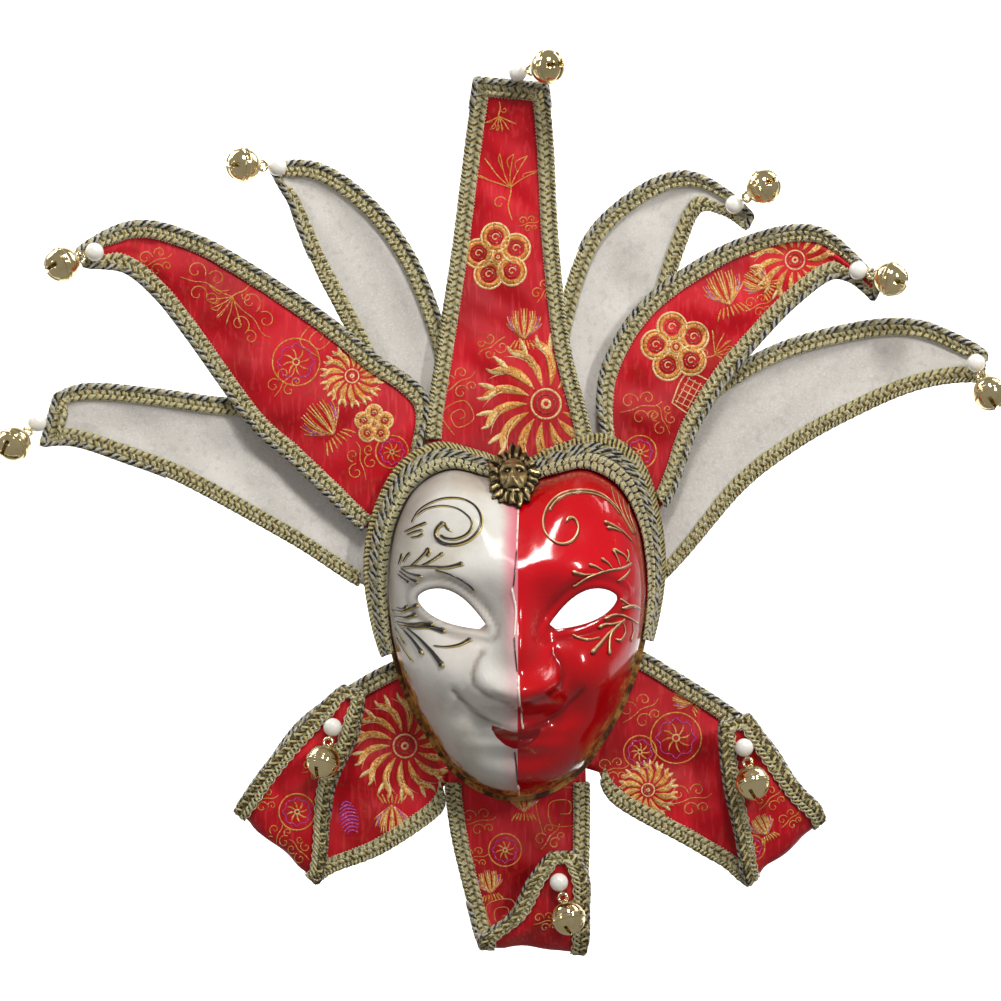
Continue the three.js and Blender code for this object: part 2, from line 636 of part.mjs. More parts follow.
// Height of the lion relief over its back, at a radius share and a turn round its middle
function lionHeight(share, turn) {
  const x = share * Math.cos(turn);
  const z = share * Math.sin(turn);
  const away = (cx, cz) => (x - cx) ** 2 + (z - cz) ** 2;
  const bump = (cx, cz, spread, height) => height * Math.exp(-away(cx, cz) / (2 * spread * spread));
  const rim = 0.35 + 0.25 * (1 - share);
  const mane = 0.16 * Math.cos(11 * turn) * Math.sin(Math.PI * share);
  const head = bump(0, 0, 0.34, 0.5) + bump(0, -0.16, 0.14, 0.45) + bump(0, 0.08, 0.1, 0.25);
  const eyes = bump(0.2, 0.1, 0.07, -0.25) + bump(-0.2, 0.1, 0.07, -0.25);
  const mouth = bump(0, -0.34, 0.08, -0.2);
  return brooch_thickness * Math.max(0.25, rim + mane + head + eyes + mouth);
}

// Round cast brooch with a lion head, its back on the local plane z = 0
function lionGeometry() {
  const points = [new THREE.Vector3(0, 0, 0), new THREE.Vector3(0, 0, lionHeight(0, 0))];
  const triangles = [];
  for (let ring = 1; ring <= brooch_rings; ring += 1) {
    for (let side = 0; side < brooch_sides; side += 1) {
      const turn = 2 * Math.PI * side / brooch_sides;
      const flame = 1 + 0.06 * Math.cos(11 * turn) * ring / brooch_rings;
      const share = ring / brooch_rings;
      const x = Math.cos(turn) * share * flame * brooch_width / 2;
      const y = Math.sin(turn) * share * flame * brooch_height / 2;
      points.push(new THREE.Vector3(x, y, lionHeight(share, turn)));
    }
  }
  const outer = 2 + (brooch_rings - 1) * brooch_sides;
  const back = points.length;
  for (let side = 0; side < brooch_sides; side += 1) {
    const rim = points[outer + side];
    points.push(new THREE.Vector3(rim.x, rim.y, 0));
  }
  for (let side = 0; side < brooch_sides; side += 1) {
    const next = (side + 1) % brooch_sides;
    triangles.push(1, 2 + side, 2 + next);
    for (let ring = 0; ring < brooch_rings - 1; ring += 1) {
      const a = 2 + ring * brooch_sides;
      const b = a + brooch_sides;
      triangles.push(a + side, b + side, b + next, a + side, b + next, a + next);
    }
    triangles.push(outer + side, back + side, back + next, outer + side, back + next, outer + next);
    triangles.push(0, back + next, back + side);
  }
  return closedGeometry(points, triangles);
}

// Points of the brow and of the braid's front that could touch the back of the brooch
function pointsBehindBrooch(seat_x, seat_z) {
  const points = [];
  for (let column = -4; column <= 4; column += 1) {
    const x = seat_x + column / 8 * brooch_width;
    for (let row = -5; row <= 5; row += 1) {
      const z = seat_z + row / 10 * brooch_height;
      const inside = Math.hypot(x, z) < outlineRadius(Math.atan2(z, x)) - rim_lip;
      if (inside) points.push(new THREE.Vector3(x, -faceDepth(x, z), z));
    }
    const turn = Math.atan2(seat_z, x);
    points.push(...braidSection(turn, rowAtTurn(turn)).slice(0, 3));
  }
  return points;
}

// The brooch leans back over the brow and rests on the face behind it or on the front of the braid
function lionBrooch() {
  const seat_x = -brooch_shift;
  const seat_z = forehead_height * brooch_height_share;
  const lean = brooch_lean * degree;
  const side = new THREE.Vector3(1, 0, 0);
  const outward = new THREE.Vector3(0, -Math.cos(lean), Math.sin(lean));
  const upward = new THREE.Vector3(0, Math.sin(lean), Math.cos(lean));
  const seat = new THREE.Vector3(seat_x, -faceDepth(seat_x, seat_z), seat_z);
  const covered = pointsBehindBrooch(seat_x, seat_z).map((point) => point.sub(seat))
    .filter((point) => Math.hypot(point.x / brooch_width, point.dot(upward) / brooch_height) < brooch_cover);
  const heights = covered.map((point) => point.dot(outward));
  const mesh = part('lion_brooch', lionGeometry(), bronze);
  mesh.quaternion.setFromRotationMatrix(new THREE.Matrix4().makeBasis(side, upward, outward));
  mesh.position.copy(seat.addScaledVector(outward, Math.max(...heights) + gap));
  return mesh;
}

// Hollow bell round the origin with a crossed slit below and a wire loop above
function bellGeometry() {
  const radius = bell_diameter / 2;
  const shoulder = radius * 0.71;
  const rib = bell_wall / 2;
  const outer = [
    [0, -radius], [shoulder, -shoulder], [radius, -rib], [radius, rib], [shoulder, shoulder], [0, radius],
  ];
  const hollow = radius - bell_wall;
  const inner = [[0, -hollow], [hollow * 0.86, -hollow * 0.25], [hollow * 0.74, hollow * 0.5], [0, hollow]];
  const turned = (profile) => new THREE.LatheGeometry(
    profile.map(([x, y]) => new THREE.Vector2(x, y)), bell_sides).rotateX(90 * degree);
  const slit_depth = radius * 1.2;
  const slit = (width, depth) => toSolid(new THREE.BoxGeometry(width, depth, slit_depth)
    .translate(0, 0, -slit_depth / 2 - radius * 0.25));
  const loop = new THREE.TorusGeometry(bell_loop, bell_wire, 4, 6).rotateZ(30 * degree).rotateX(90 * degree)
    .translate(0, 0, radius + bell_loop * 0.75);
  const solid = toSolid(turned(outer)).subtract(toSolid(turned(inner)))
    .subtract(slit(bell_slit, bell_diameter * 1.1)).subtract(slit(bell_diameter * 1.1, bell_slit))
    .add(toSolid(loop));
  return fromSolid(solid);
}

const bell_geometry = bellGeometry();
const bell_top = bell_diameter / 2 + bell_loop * 1.75 + bell_wire;

function part(name, geometry, material) {
  const mesh = new THREE.Mesh(geometry, material);
  mesh.name = name;
  return mesh;
}

// How much longer a straight way forward is than the distance from the sloping cloth, at the pearl
function slopeStretch(strip) {
  const middleAt = (step) => bowed(strip, stripFrame(strip, strip.pearl_row + step).middle);
  const [below, above] = [middleAt(-0.5), middleAt(0.5)];
  const rise = above.sub(below);
  return strip.folds ? 1 : Math.hypot(1, rise.y / Math.hypot(rise.x, rise.z));
}

// Pearl seated on the tip's edging, and the bell that hangs from it in front of the cloth
function tipTrim(strip) {
  const radius = pearl_diameter / 2;
  const on_tip = strip.pearl_row === undefined;
  const frame = stripFrame(strip, on_tip ? strip.rows.length - 1 : strip.pearl_row);
  const tilt = (on_tip ? 40 : 90) * degree;
  const across = strip.across * frame.width;
  const forward = frame.normal.clone().multiplyScalar(-Math.sign(frame.normal.y));
  const pearl_seat = strip.folds ? cloth_thickness / 2 : edging_half;
  const pearl_height = (pearl_seat + (radius + gap) * Math.sin(tilt)) * (on_tip ? 1 : slopeStretch(strip));
  const pearl_place = bowed(strip, offsetPoint(frame, across, 0, 0));
  const ahead = frame.along.clone().addScaledVector(forward, -frame.along.dot(forward)).normalize();
  pearl_place.addScaledVector(ahead, (radius + gap) * Math.cos(tilt)).addScaledVector(forward, pearl_height);
  const reach = radius + gap + bell_top;
  const rise = edging_half + 3 * gap + bell_diameter / 2 + (strip.folds ? 0 : bell_stand) - pearl_height;
  const hang = new THREE.Vector3(Math.cos(strip.hang * degree), 0, Math.sin(strip.hang * degree));
  hang.addScaledVector(forward, -hang.dot(forward)).normalize();
  const flat_reach = Math.sqrt(reach * reach - rise * rise);
  const bell_place = pearl_place.clone().addScaledVector(hang, flat_reach).addScaledVector(forward, rise);
  const pearl = part(`${strip.name}_pearl`, new THREE.SphereGeometry(radius, pearl_sides, 5), pearl_white);
  pearl.position.copy(pearl_place);
  const bell = part(`${strip.name}_bell`, bell_geometry, bright_gold);
  bell.position.copy(bell_place);
  const upward = pearl_place.clone().sub(bell_place).normalize();
  bell.quaternion.setFromUnitVectors(new THREE.Vector3(0, 0, 1), upward);
  return [pearl, bell];
}

function clothPoint(strip) {
  const group = new THREE.Group();
  group.add(part(strip.name, clothGeometry(strip), strip.cloth));
  group.add(part(`${strip.name}_edging`, edgingGeometry(strip), gold_braid));
  group.add(...tipTrim(strip));
  return group;
}

const mask = new THREE.Group();
mask.add(part('face_shell', faceShell(), off_white));
mask.add(part('forehead_braid', braidGeometry(), gold_braid));
mask.add(lionBrooch());
for (const row of point_tables) {
  mask.add(clothPoint({ ...row, steps: Math.max(point_steps, row.rows.length + 1), fore_unit: row.reach }));
}
for (const row of flap_tables) {
  const cut = { cloth: red_brocade, layer: front_layer, swell: 0, steps: flap_steps };
  const flap = { ...row, ...cut, folds: true, fore_unit: fold_gap };
  mask.add(clothPoint(flap));
}

export default mask;
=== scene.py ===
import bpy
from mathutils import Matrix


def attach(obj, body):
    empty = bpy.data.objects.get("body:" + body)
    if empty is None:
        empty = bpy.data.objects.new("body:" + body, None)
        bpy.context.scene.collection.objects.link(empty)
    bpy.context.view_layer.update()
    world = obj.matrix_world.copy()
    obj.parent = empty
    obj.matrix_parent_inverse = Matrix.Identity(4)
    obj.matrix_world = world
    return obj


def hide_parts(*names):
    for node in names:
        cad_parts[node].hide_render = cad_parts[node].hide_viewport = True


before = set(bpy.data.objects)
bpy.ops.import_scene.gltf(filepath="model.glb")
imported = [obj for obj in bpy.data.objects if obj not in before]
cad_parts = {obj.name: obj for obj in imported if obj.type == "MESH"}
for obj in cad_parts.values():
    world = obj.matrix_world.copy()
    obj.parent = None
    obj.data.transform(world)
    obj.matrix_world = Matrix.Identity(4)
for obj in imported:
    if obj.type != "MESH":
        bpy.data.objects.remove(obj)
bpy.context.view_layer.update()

import math

import bmesh
import bpy
import numpy as np
from mathutils import Vector
from mathutils.bvhtree import BVHTree

# Lengths below are in millimetres, and meshes are made in metres
MM = 0.001
DEGREE = math.pi / 180

# The photograph's frame: its size, the place of the mask's axis in it and its scale
IMAGE_SIZE = 1001
AXIS_COLUMN = 517
AXIS_ROW = 607
PIXEL = 0.55
CAMERA_DISTANCE = 1500
CAMERA_X = (IMAGE_SIZE / 2 - AXIS_COLUMN) * PIXEL
CAMERA_Z = (AXIS_ROW - IMAGE_SIZE / 2) * PIXEL
SENSOR = 36

# Driving sizes, the same as in the part
FACE_HALF_WIDTH = 73
FOREHEAD_HEIGHT = 78
CHIN_DROP = 107
FACE_DEPTH = 60
NOSE_HEIGHT = 22
SHELL_WALL = 2.5
RIM_LIP = 3
EYE_SPACING = 69
EYE_LENGTH = 42
EYE_RISE = 10.5
EYE_FALL = 6
EYE_SLANT = 24
EYE_DROP = 1.5
CLOTH_THICKNESS = 2
EDGING_WIDTH = 9.5
EDGING_WALL = 1.5
CHANNEL_GAP = 0.6
FOLD_GAP = 14
BOWL_LIFT = 14
BOWL_START = 110
BOWL_REACH = 160
ROOT_TUCK = 4
BRAID_WIDTH = 16
BRAID_CLEARANCE = 1.2
BRAID_FLOOR = 2.8
BELL_DIAMETER = 19
BELL_LOOP = 2.4
BELL_WIRE = 0.9
BELL_STAND = 5
PEARL_DIAMETER = 10
GAP = 0.3
FRONT_LAYER = 1.3
BACK_LAYER = 8
EDGING_HALF = CLOTH_THICKNESS / 2 + CHANNEL_GAP + EDGING_WALL
BELL_TOP = BELL_DIAMETER / 2 + BELL_LOOP * 1.75 + BELL_WIRE
BROOCH_LEAN = 38
BROOCH_HALF_WIDTH = 14.28
BROOCH_HALF_HEIGHT = 20.8
BROOCH_RELIEF = 4

OUTLINE = np.array([
    (0, 0.9), (0.25, 0.955), (0.52, 1), (0.77, 0.88), (0.93, 0.62), (1, 0.28), (1, 0),
    (0.95, -0.23), (0.83, -0.48), (0.66, -0.69), (0.5, -0.84), (0.27, -0.955), (0, -1),
])

# side, up, wide, tall, height, pair
FEATURES = [
    (0, -0.02, 0.1, 0.17, 0.3, False),
    (0, -0.22, 0.11, 0.13, 0.55, False),
    (0, -0.415, 0.13, 0.065, 0.74, False),
    (0.2, -0.37, 0.085, 0.06, 0.42, True),
    (0.36, -0.36, 0.05, 0.08, -0.12, True),
    (0, -0.515, 0.26, 0.036, -0.26, False),
    (0.44, 0.2, 0.28, 0.075, 0.22, True),
    (0.46, -0.03, 0.23, 0.11, -0.34, True),
    (0.19, -0.05, 0.09, 0.1, -0.22, True),
    (0.55, -0.33, 0.2, 0.12, 0.32, True),
    (0.42, -0.46, 0.08, 0.06, -0.16, True),
    (0.26, -0.57, 0.09, 0.05, -0.2, True),
    (0, -0.6, 0.2, 0.03, 0.18, False),
    (0, -0.633, 0.2, 0.015, -0.12, False),
    (0, -0.667, 0.15, 0.03, 0.25, False),
    (0, -0.735, 0.18, 0.04, -0.16, False),
    (0, -0.85, 0.2, 0.085, 0.34, False),
]

# Rows of each strip: out, up, width, turn, fore
STRIPS = {
    "top_point": dict(root=93, reach=220, root_width=90, cloth="red_brocade", layer=FRONT_LAYER, swell=0.03,
                      hang=4, across=0.08, cord=(0.42, 0.58), rows=[
        (0, 0, 0.85, 0, 0), (-0.005, 0.118, 1.02, 0, 0), (-0.017, 0.341, 0.82, 0, 0),
        (-0.013, 0.591, 0.655, 0, 0), (-0.004, 0.841, 0.54, 0, 0.012), (0.001, 0.993, 0.445, -5, 0.055)]),
    "upper_left_point": dict(root=122, reach=184, root_width=50, cloth="white_satin", layer=BACK_LAYER,
                             swell=-0.04, hang=180, across=0.35, pearl_row=5.7, cord=(0.3, 1), rows=[
        (0, 0, 1, 15, 0), (-0.054, 0.188, 1, 22, 0), (-0.1, 0.397, 1, 28, 0), (-0.182, 0.582, 1.06, 35, 0),
        (-0.278, 0.728, 0.98, 50, 0), (-0.378, 0.846, 0.66, 64, 0.01), (-0.476, 0.886, 0.24, 118, 0.05)]),
    "left_point": dict(root=137, reach=212, root_width=60, cloth="red_brocade", layer=FRONT_LAYER, swell=0.05,
                       hang=205, across=0, pearl_row=7.6, cord=(0, 1), rows=[
        (0, 0, 0.7, 48, 0), (-0.042, 0.038, 0.9, 54, 0), (-0.083, 0.156, 1.3, 44.5, 0),
        (-0.198, 0.255, 1.25, 51, 0), (-0.307, 0.349, 1.22, 54, 0), (-0.49, 0.528, 0.88, 53, 0),
        (-0.6, 0.616, 0.67, 61, 0), (-0.708, 0.66, 0.46, 78, 0.015), (-0.825, 0.625, 0.17, 115, 0.06)]),
    "lower_left_point": dict(root=152, reach=196, root_width=66, cloth="white_satin", layer=BACK_LAYER,
                             swell=-0.04, hang=228, across=-0.1, cord=(0.3, 1), rows=[
        (0, 0, 0.88, 84, 0), (-0.086, 0.041, 1, 84, 0), (-0.282, 0.182, 1.1, 85, 0),
        (-0.563, 0.284, 0.76, 77, 0), (-0.726, 0.328, 0.64, 71, 0), (-0.872, 0.355, 0.52, 77, 0.012),
        (-0.959, 0.34, 0.44, 74, 0.05)]),
    "upper_right_point": dict(root=65, reach=160, root_width=50, cloth="white_satin", layer=BACK_LAYER,
                              swell=-0.04, hang=30, across=-0.1, pearl_row=6.3, cord=(0.25, 0.6), rows=[
        (0, 0, 0.96, 0, 0), (0.04, 0.196, 1.04, -4, 0), (0.075, 0.417, 1.12, -8, 0),
        (0.158, 0.7, 1.12, -26, 0), (0.258, 0.86, 0.86, -38, 0), (0.377, 0.955, 0.5, -64, 0.008),
        (0.488, 0.92, 0.28, -94, 0.03), (0.577, 0.845, 0.18, -116, 0.06)]),
    "right_point": dict(root=51, reach=176, root_width=58, cloth="red_brocade", layer=FRONT_LAYER, swell=0.05,
                        hang=-18, across=0, pearl_row=8.2, cord=(0, 1), rows=[
        (0, 0, 0.62, -45, 0), (0.063, 0.041, 0.86, -47, 0), (0.097, 0.211, 0.98, -23, 0),
        (0.135, 0.323, 1.09, -25, 0), (0.219, 0.456, 1.1, -36, 0), (0.347, 0.573, 0.98, -49, 0),
        (0.482, 0.67, 0.8, -52, 0), (0.63, 0.725, 0.54, -70, 0.008), (0.725, 0.68, 0.26, -98, 0.03),
        (0.806, 0.598, 0.17, -114, 0.06)]),
    "lower_right_point": dict(root=28, reach=208, root_width=60, cloth="white_satin", layer=BACK_LAYER,
                              swell=-0.04, hang=-70, across=0, pearl_row=6.5, cord=(0, 0.5), rows=[
        (0, 0, 0.9, -92, 0), (0.055, 0.035, 1, -88, 0), (0.196, 0.244, 0.97, -60, 0),
        (0.383, 0.381, 0.95, -70, 0), (0.586, 0.463, 0.8, -78, 0), (0.725, 0.492, 0.64, -86, 0.005),
        (0.826, 0.479, 0.43, -92, 0.03), (0.896, 0.456, 0.28, -95, 0.06)]),
    "left_flap": dict(root=232, reach=103, root_width=82, hang=255, across=0, pearl_row=7,
                      cord=(0.3, 1), rows=[
        (0, 0, 0.93, 105, 0), (-0.15, -0.134, 1.05, 122, 0), (-0.447, -0.338, 1.05, 123, 0),
        (-0.69, -0.55, 0.81, 132, 0), (-0.785, -0.635, 0.756, 138, 0.5), (-0.757, -0.59, 0.74, 139, 1),
        (-0.658, -0.274, 0.476, 152, 1.3), (-0.485, -0.001, 0.34, 153, 1.4),
        (-0.379, 0.191, 0.16, 157, 1.4)]),
    "centre_flap": dict(root=270, reach=83, root_width=80, hang=285, across=0, pearl_row=7,
                        cord=(0.3, 0.8), rows=[
        (0, 0.113, 1, 180, 0), (0.007, -0.06, 0.99, 179, 0), (0.028, -0.371, 0.94, 176, 0),
        (0.072, -0.8, 0.81, 176, 0), (0.1, -1, 0.75, 177, 0.5), (0.12, -0.93, 0.73, 178, 1),
        (0.213, -0.76, 0.54, 184, 1.2), (0.272, -0.542, 0.41, 181, 1.3), (0.3, -0.361, 0.18, 180, 1.3)]),
    "right_flap": dict(root=-47, reach=120, root_width=80, hang=282, across=0, pearl_row=7.4,
                       cord=(0, 0.75), rows=[
        (0, 0, 0.92, -104, 0), (0.121, -0.112, 1.02, -110, 0), (0.496, -0.346, 0.95, -118, 0),
        (0.67, -0.53, 0.76, -135, 0), (0.767, -0.63, 0.72, -139, 0.5), (0.757, -0.575, 0.7, -140, 1),
        (0.698, -0.45, 0.56, -142, 1.2), (0.611, -0.249, 0.42, -145, 1.3), (0.54, -0.02, 0.22, -165, 1.3)]),
}
for strip_name, strip in STRIPS.items():
    strip["name"] = strip_name
    strip["folds"] = strip_name.endswith("flap")
    strip["rows"] = np.array(strip["rows"], float)
    strip["steps"] = 12 if strip["folds"] else max(8, len(strip["rows"]) + 1)
    strip["fore_unit"] = FOLD_GAP if strip["folds"] else strip["reach"]
    if strip["folds"]:
        strip.update(cloth="red_brocade", layer=FRONT_LAYER, swell=0)

# Turn round the origin and width of the forehead braid
BRAID = np.array([
    (200, 0.45), (180, 0.65), (160, 0.85), (140, 0.9), (118, 1), (104, 0.85), (90, 0.72), (76, 1.05),
    (62, 1.35), (48, 1.15), (36, 0.85), (20, 0.68), (3, 0.5), (-14, 0.35),
])


def smooth_column(values, place):
    """Catmull-Rom value at fractional row numbers"""
    values = np.asarray(values, float)
    last = len(values) - 1
    at = np.clip(np.asarray(place, float), 0, last)
    low = np.minimum(np.floor(at).astype(int), last - 1)
    share = at - low
    before, start = values[np.maximum(low - 1, 0)], values[low]
    end, after = values[low + 1], values[np.minimum(low + 2, last)]
    cubic = after - before + 3 * (start - end)
    square = 2 * before - 5 * start + 4 * end - after
    return start + 0.5 * share * (end - before + share * (square + share * cubic))


def smoothstep(low, high, value):
    share = np.clip((value - low) / (high - low), 0, 1)
    return share * share * (3 - 2 * share)


def unit(vectors):
    return vectors / np.maximum(np.linalg.norm(vectors, axis=-1, keepdims=True), 1e-9)


def outline_runs():
    """Turn and reach of the face outline, along a closed centripetal curve"""
    up = np.where(OUTLINE[:, 1] > 0, FOREHEAD_HEIGHT, CHIN_DROP)
    right = np.stack([OUTLINE[:, 0] * FACE_HALF_WIDTH, OUTLINE[:, 1] * up], 1)
    left = right[1:-1][::-1] * (-1, 1)
    points = np.concatenate([right, left])
    count = len(points)
    place = np.arange(720) / 720 * count
    low = np.floor(place).astype(int)
    share = (place - low)[:, None]
    a, b, c, d = (points[(low + step) % count] for step in (-1, 0, 1, 2))
    spans = [np.linalg.norm(two - one, axis=1, keepdims=True) ** 0.5 for one, two in ((a, b), (b, c), (c, d))]
    start = ((b - a) / spans[0] - (c - a) / (spans[0] + spans[1]) + (c - b) / spans[1]) * spans[1]
    end = ((c - b) / spans[1] - (d - b) / (spans[1] + spans[2]) + (d - c) / spans[2]) * spans[1]
    square = 3 * (c - b) - 2 * start - end
    curve = b + share * start + share ** 2 * square + share ** 3 * (2 * (b - c) + start + end)
    return np.arctan2(curve[:, 1], curve[:, 0]), np.hypot(curve[:, 0], curve[:, 1])


OUTLINE_TURNS, OUTLINE_REACHES = outline_runs()


def outline_radius(turn):
    return np.interp(turn, OUTLINE_TURNS, OUTLINE_REACHES, period=2 * math.pi)


def feature_height(x, z, share):
    height = np.zeros_like(x)
    for side, up, wide, tall, rise, pair in FEATURES:
        for hand in (1, -1) if pair else (1,):
            across = (x - hand * side * FACE_HALF_WIDTH) / (wide * FACE_HALF_WIDTH)
            along = (z - up * CHIN_DROP) / (tall * CHIN_DROP)
            height += rise * NOSE_HEIGHT * np.exp(-0.5 * (across ** 2 + along ** 2))
    return height * (1 - share ** 6)


def face_depth(x, z):
    """Depth of the outer face in front of the rim plane"""
    x, z = np.asarray(x, float), np.asarray(z, float)
    base = outline_radius(np.arctan2(z, x)) - RIM_LIP
    share = np.minimum(1, np.hypot(x, z) / base)
    dome = np.maximum(0, 1 - share ** 2.5) ** (1 / 2.2)
    return SHELL_WALL + (FACE_DEPTH - SHELL_WALL) * dome + feature_height(x, z, share)


def from_view(x, z):
    """Place on the face of a point seen from the camera against the rim plane"""
    x, z = np.asarray(x, float), np.asarray(z, float)
    real_x, real_z = x, z
    for _ in range(5):
        share = (CAMERA_DISTANCE - face_depth(real_x, real_z)) / CAMERA_DISTANCE
        real_x = CAMERA_X + (x - CAMERA_X) * share
        real_z = CAMERA_Z + (z - CAMERA_Z) * share
    return real_x, real_z


def photo_place(column, row):
    return (np.asarray(column, float) - AXIS_COLUMN) * PIXEL, (AXIS_ROW - np.asarray(row, float)) * PIXEL


def smooth_path(points, spacing):
    """Points at an even spacing along a smooth curve through the given ones"""
    points = np.asarray(points, float)
    place = np.linspace(0, len(points) - 1, 40 * len(points))
    fine = np.stack([smooth_column(points[:, column], place) for column in range(points.shape[1])], 1)
    return even_path(fine, spacing)


def run_along(points):
    """Length along a line of points up to each of them"""
    return np.concatenate([[0], np.cumsum(np.linalg.norm(np.diff(points, axis=0), axis=1))])


def even_path(points, spacing):
    run = run_along(points)
    at = np.linspace(0, run[-1], max(3, int(run[-1] / spacing) + 1))
    return np.stack([np.interp(at, run, points[:, column]) for column in range(points.shape[1])], 1)


def path_distance(x, z, line):
    """Distance in the face plane from each place to a line of points"""
    line = np.asarray(line, float)
    best = np.full(x.shape, 1e9)
    for (ax, az), (bx, bz) in zip(line[:-1], line[1:]):
        span = max((bx - ax) ** 2 + (bz - az) ** 2, 1e-9)
        share = np.clip(((x - ax) * (bx - ax) + (z - az) * (bz - az)) / span, 0, 1)
        best = np.minimum(best, np.hypot(x - ax - share * (bx - ax), z - az - share * (bz - az)))
    return best


def ring_quads(index):
    """Faces between closed rings, from an array of point numbers by ring and place"""
    after = np.roll(index, -1, axis=1)
    return np.stack([index[:-1], after[:-1], after[1:], index[1:]], -1).reshape(-1, 4).tolist()


def add_object(name, data):
    made = bpy.data.objects.new(name, data)
    bpy.context.scene.collection.objects.link(made)
    return made


class Builder:
    """Points, faces and per-point values of one joined mesh"""

    def __init__(self):
        self.points, self.faces, self.count = [], [], 0
        self.values = {}

    def add(self, points, faces, **values):
        points = np.asarray(points, float).reshape(-1, 3)
        self.faces += [tuple(int(i) + self.count for i in face) for face in faces]
        for key in sorted(set(self.values) | set(values)):
            had = self.values.setdefault(key, [np.zeros(self.count)] if self.count else [])
            had.append(np.broadcast_to(np.asarray(values.get(key, 0), float).ravel(), (len(points),)).copy()
                       if np.size(values.get(key, 0)) in (1, len(points)) else np.zeros(len(points)))
        self.points.append(points)
        self.count += len(points)

    def rings(self, rings, caps=True, **values):
        """Skin over closed rings of equal counts, given as an array of rings by points by 3"""
        rows, around = rings.shape[:2]
        index = np.arange(rows * around).reshape(rows, around)
        quads = ring_quads(index)
        if caps:
            quads += [tuple(index[0][::-1]), tuple(index[-1])]
        self.add(rings.reshape(-1, 3), quads, **values)

    def tube(self, path, normals, half_side, half_up, sides, tone=0, caps=True):
        """Tube along a path with its seam on the underside"""
        path = np.asarray(path, float)
        tangent = unit(np.gradient(path, axis=0))
        side = unit(np.cross(tangent, normals))
        upward = np.cross(side, tangent)
        angles = -math.pi / 2 + 2 * math.pi * np.arange(sides) / sides
        a = np.cos(angles)[None, :, None] * side[:, None, :] * np.reshape(half_side, (-1, 1, 1))
        b = np.sin(angles)[None, :, None] * upward[:, None, :] * np.reshape(half_up, (-1, 1, 1))
        along = np.repeat(run_along(path), sides)
        round_ = np.tile(np.arange(sides) / sides, len(path))
        self.rings(path[:, None, :] + a + b, caps, along=along, round=round_,
                   tone=np.full(len(along), float(tone)) if np.ndim(tone) == 0 else np.repeat(tone, sides))

    def build(self, name, material, slot=None, replaces=(), smooth=True):
        mesh = bpy.data.meshes.new(name)
        mesh.from_pydata((np.concatenate(self.points) * MM).tolist(), [], self.faces)
        for key, parts in self.values.items():
            layer = mesh.attributes.new(key, "FLOAT", "POINT")
            layer.data.foreach_set("value", np.concatenate(parts).astype(np.float32))
        shape = bmesh.new()
        shape.from_mesh(mesh)
        bmesh.ops.recalc_face_normals(shape, faces=shape.faces)
        shape.to_mesh(mesh)
        shape.free()
        mesh.update()
        if smooth:
            mesh.polygons.foreach_set("use_smooth", np.ones(len(mesh.polygons), bool))
        mesh.materials.append(material)
        piece = add_object(name, mesh)
        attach(piece, "root")
        if replaces:
            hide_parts(*replaces)
        return piece


# Materials

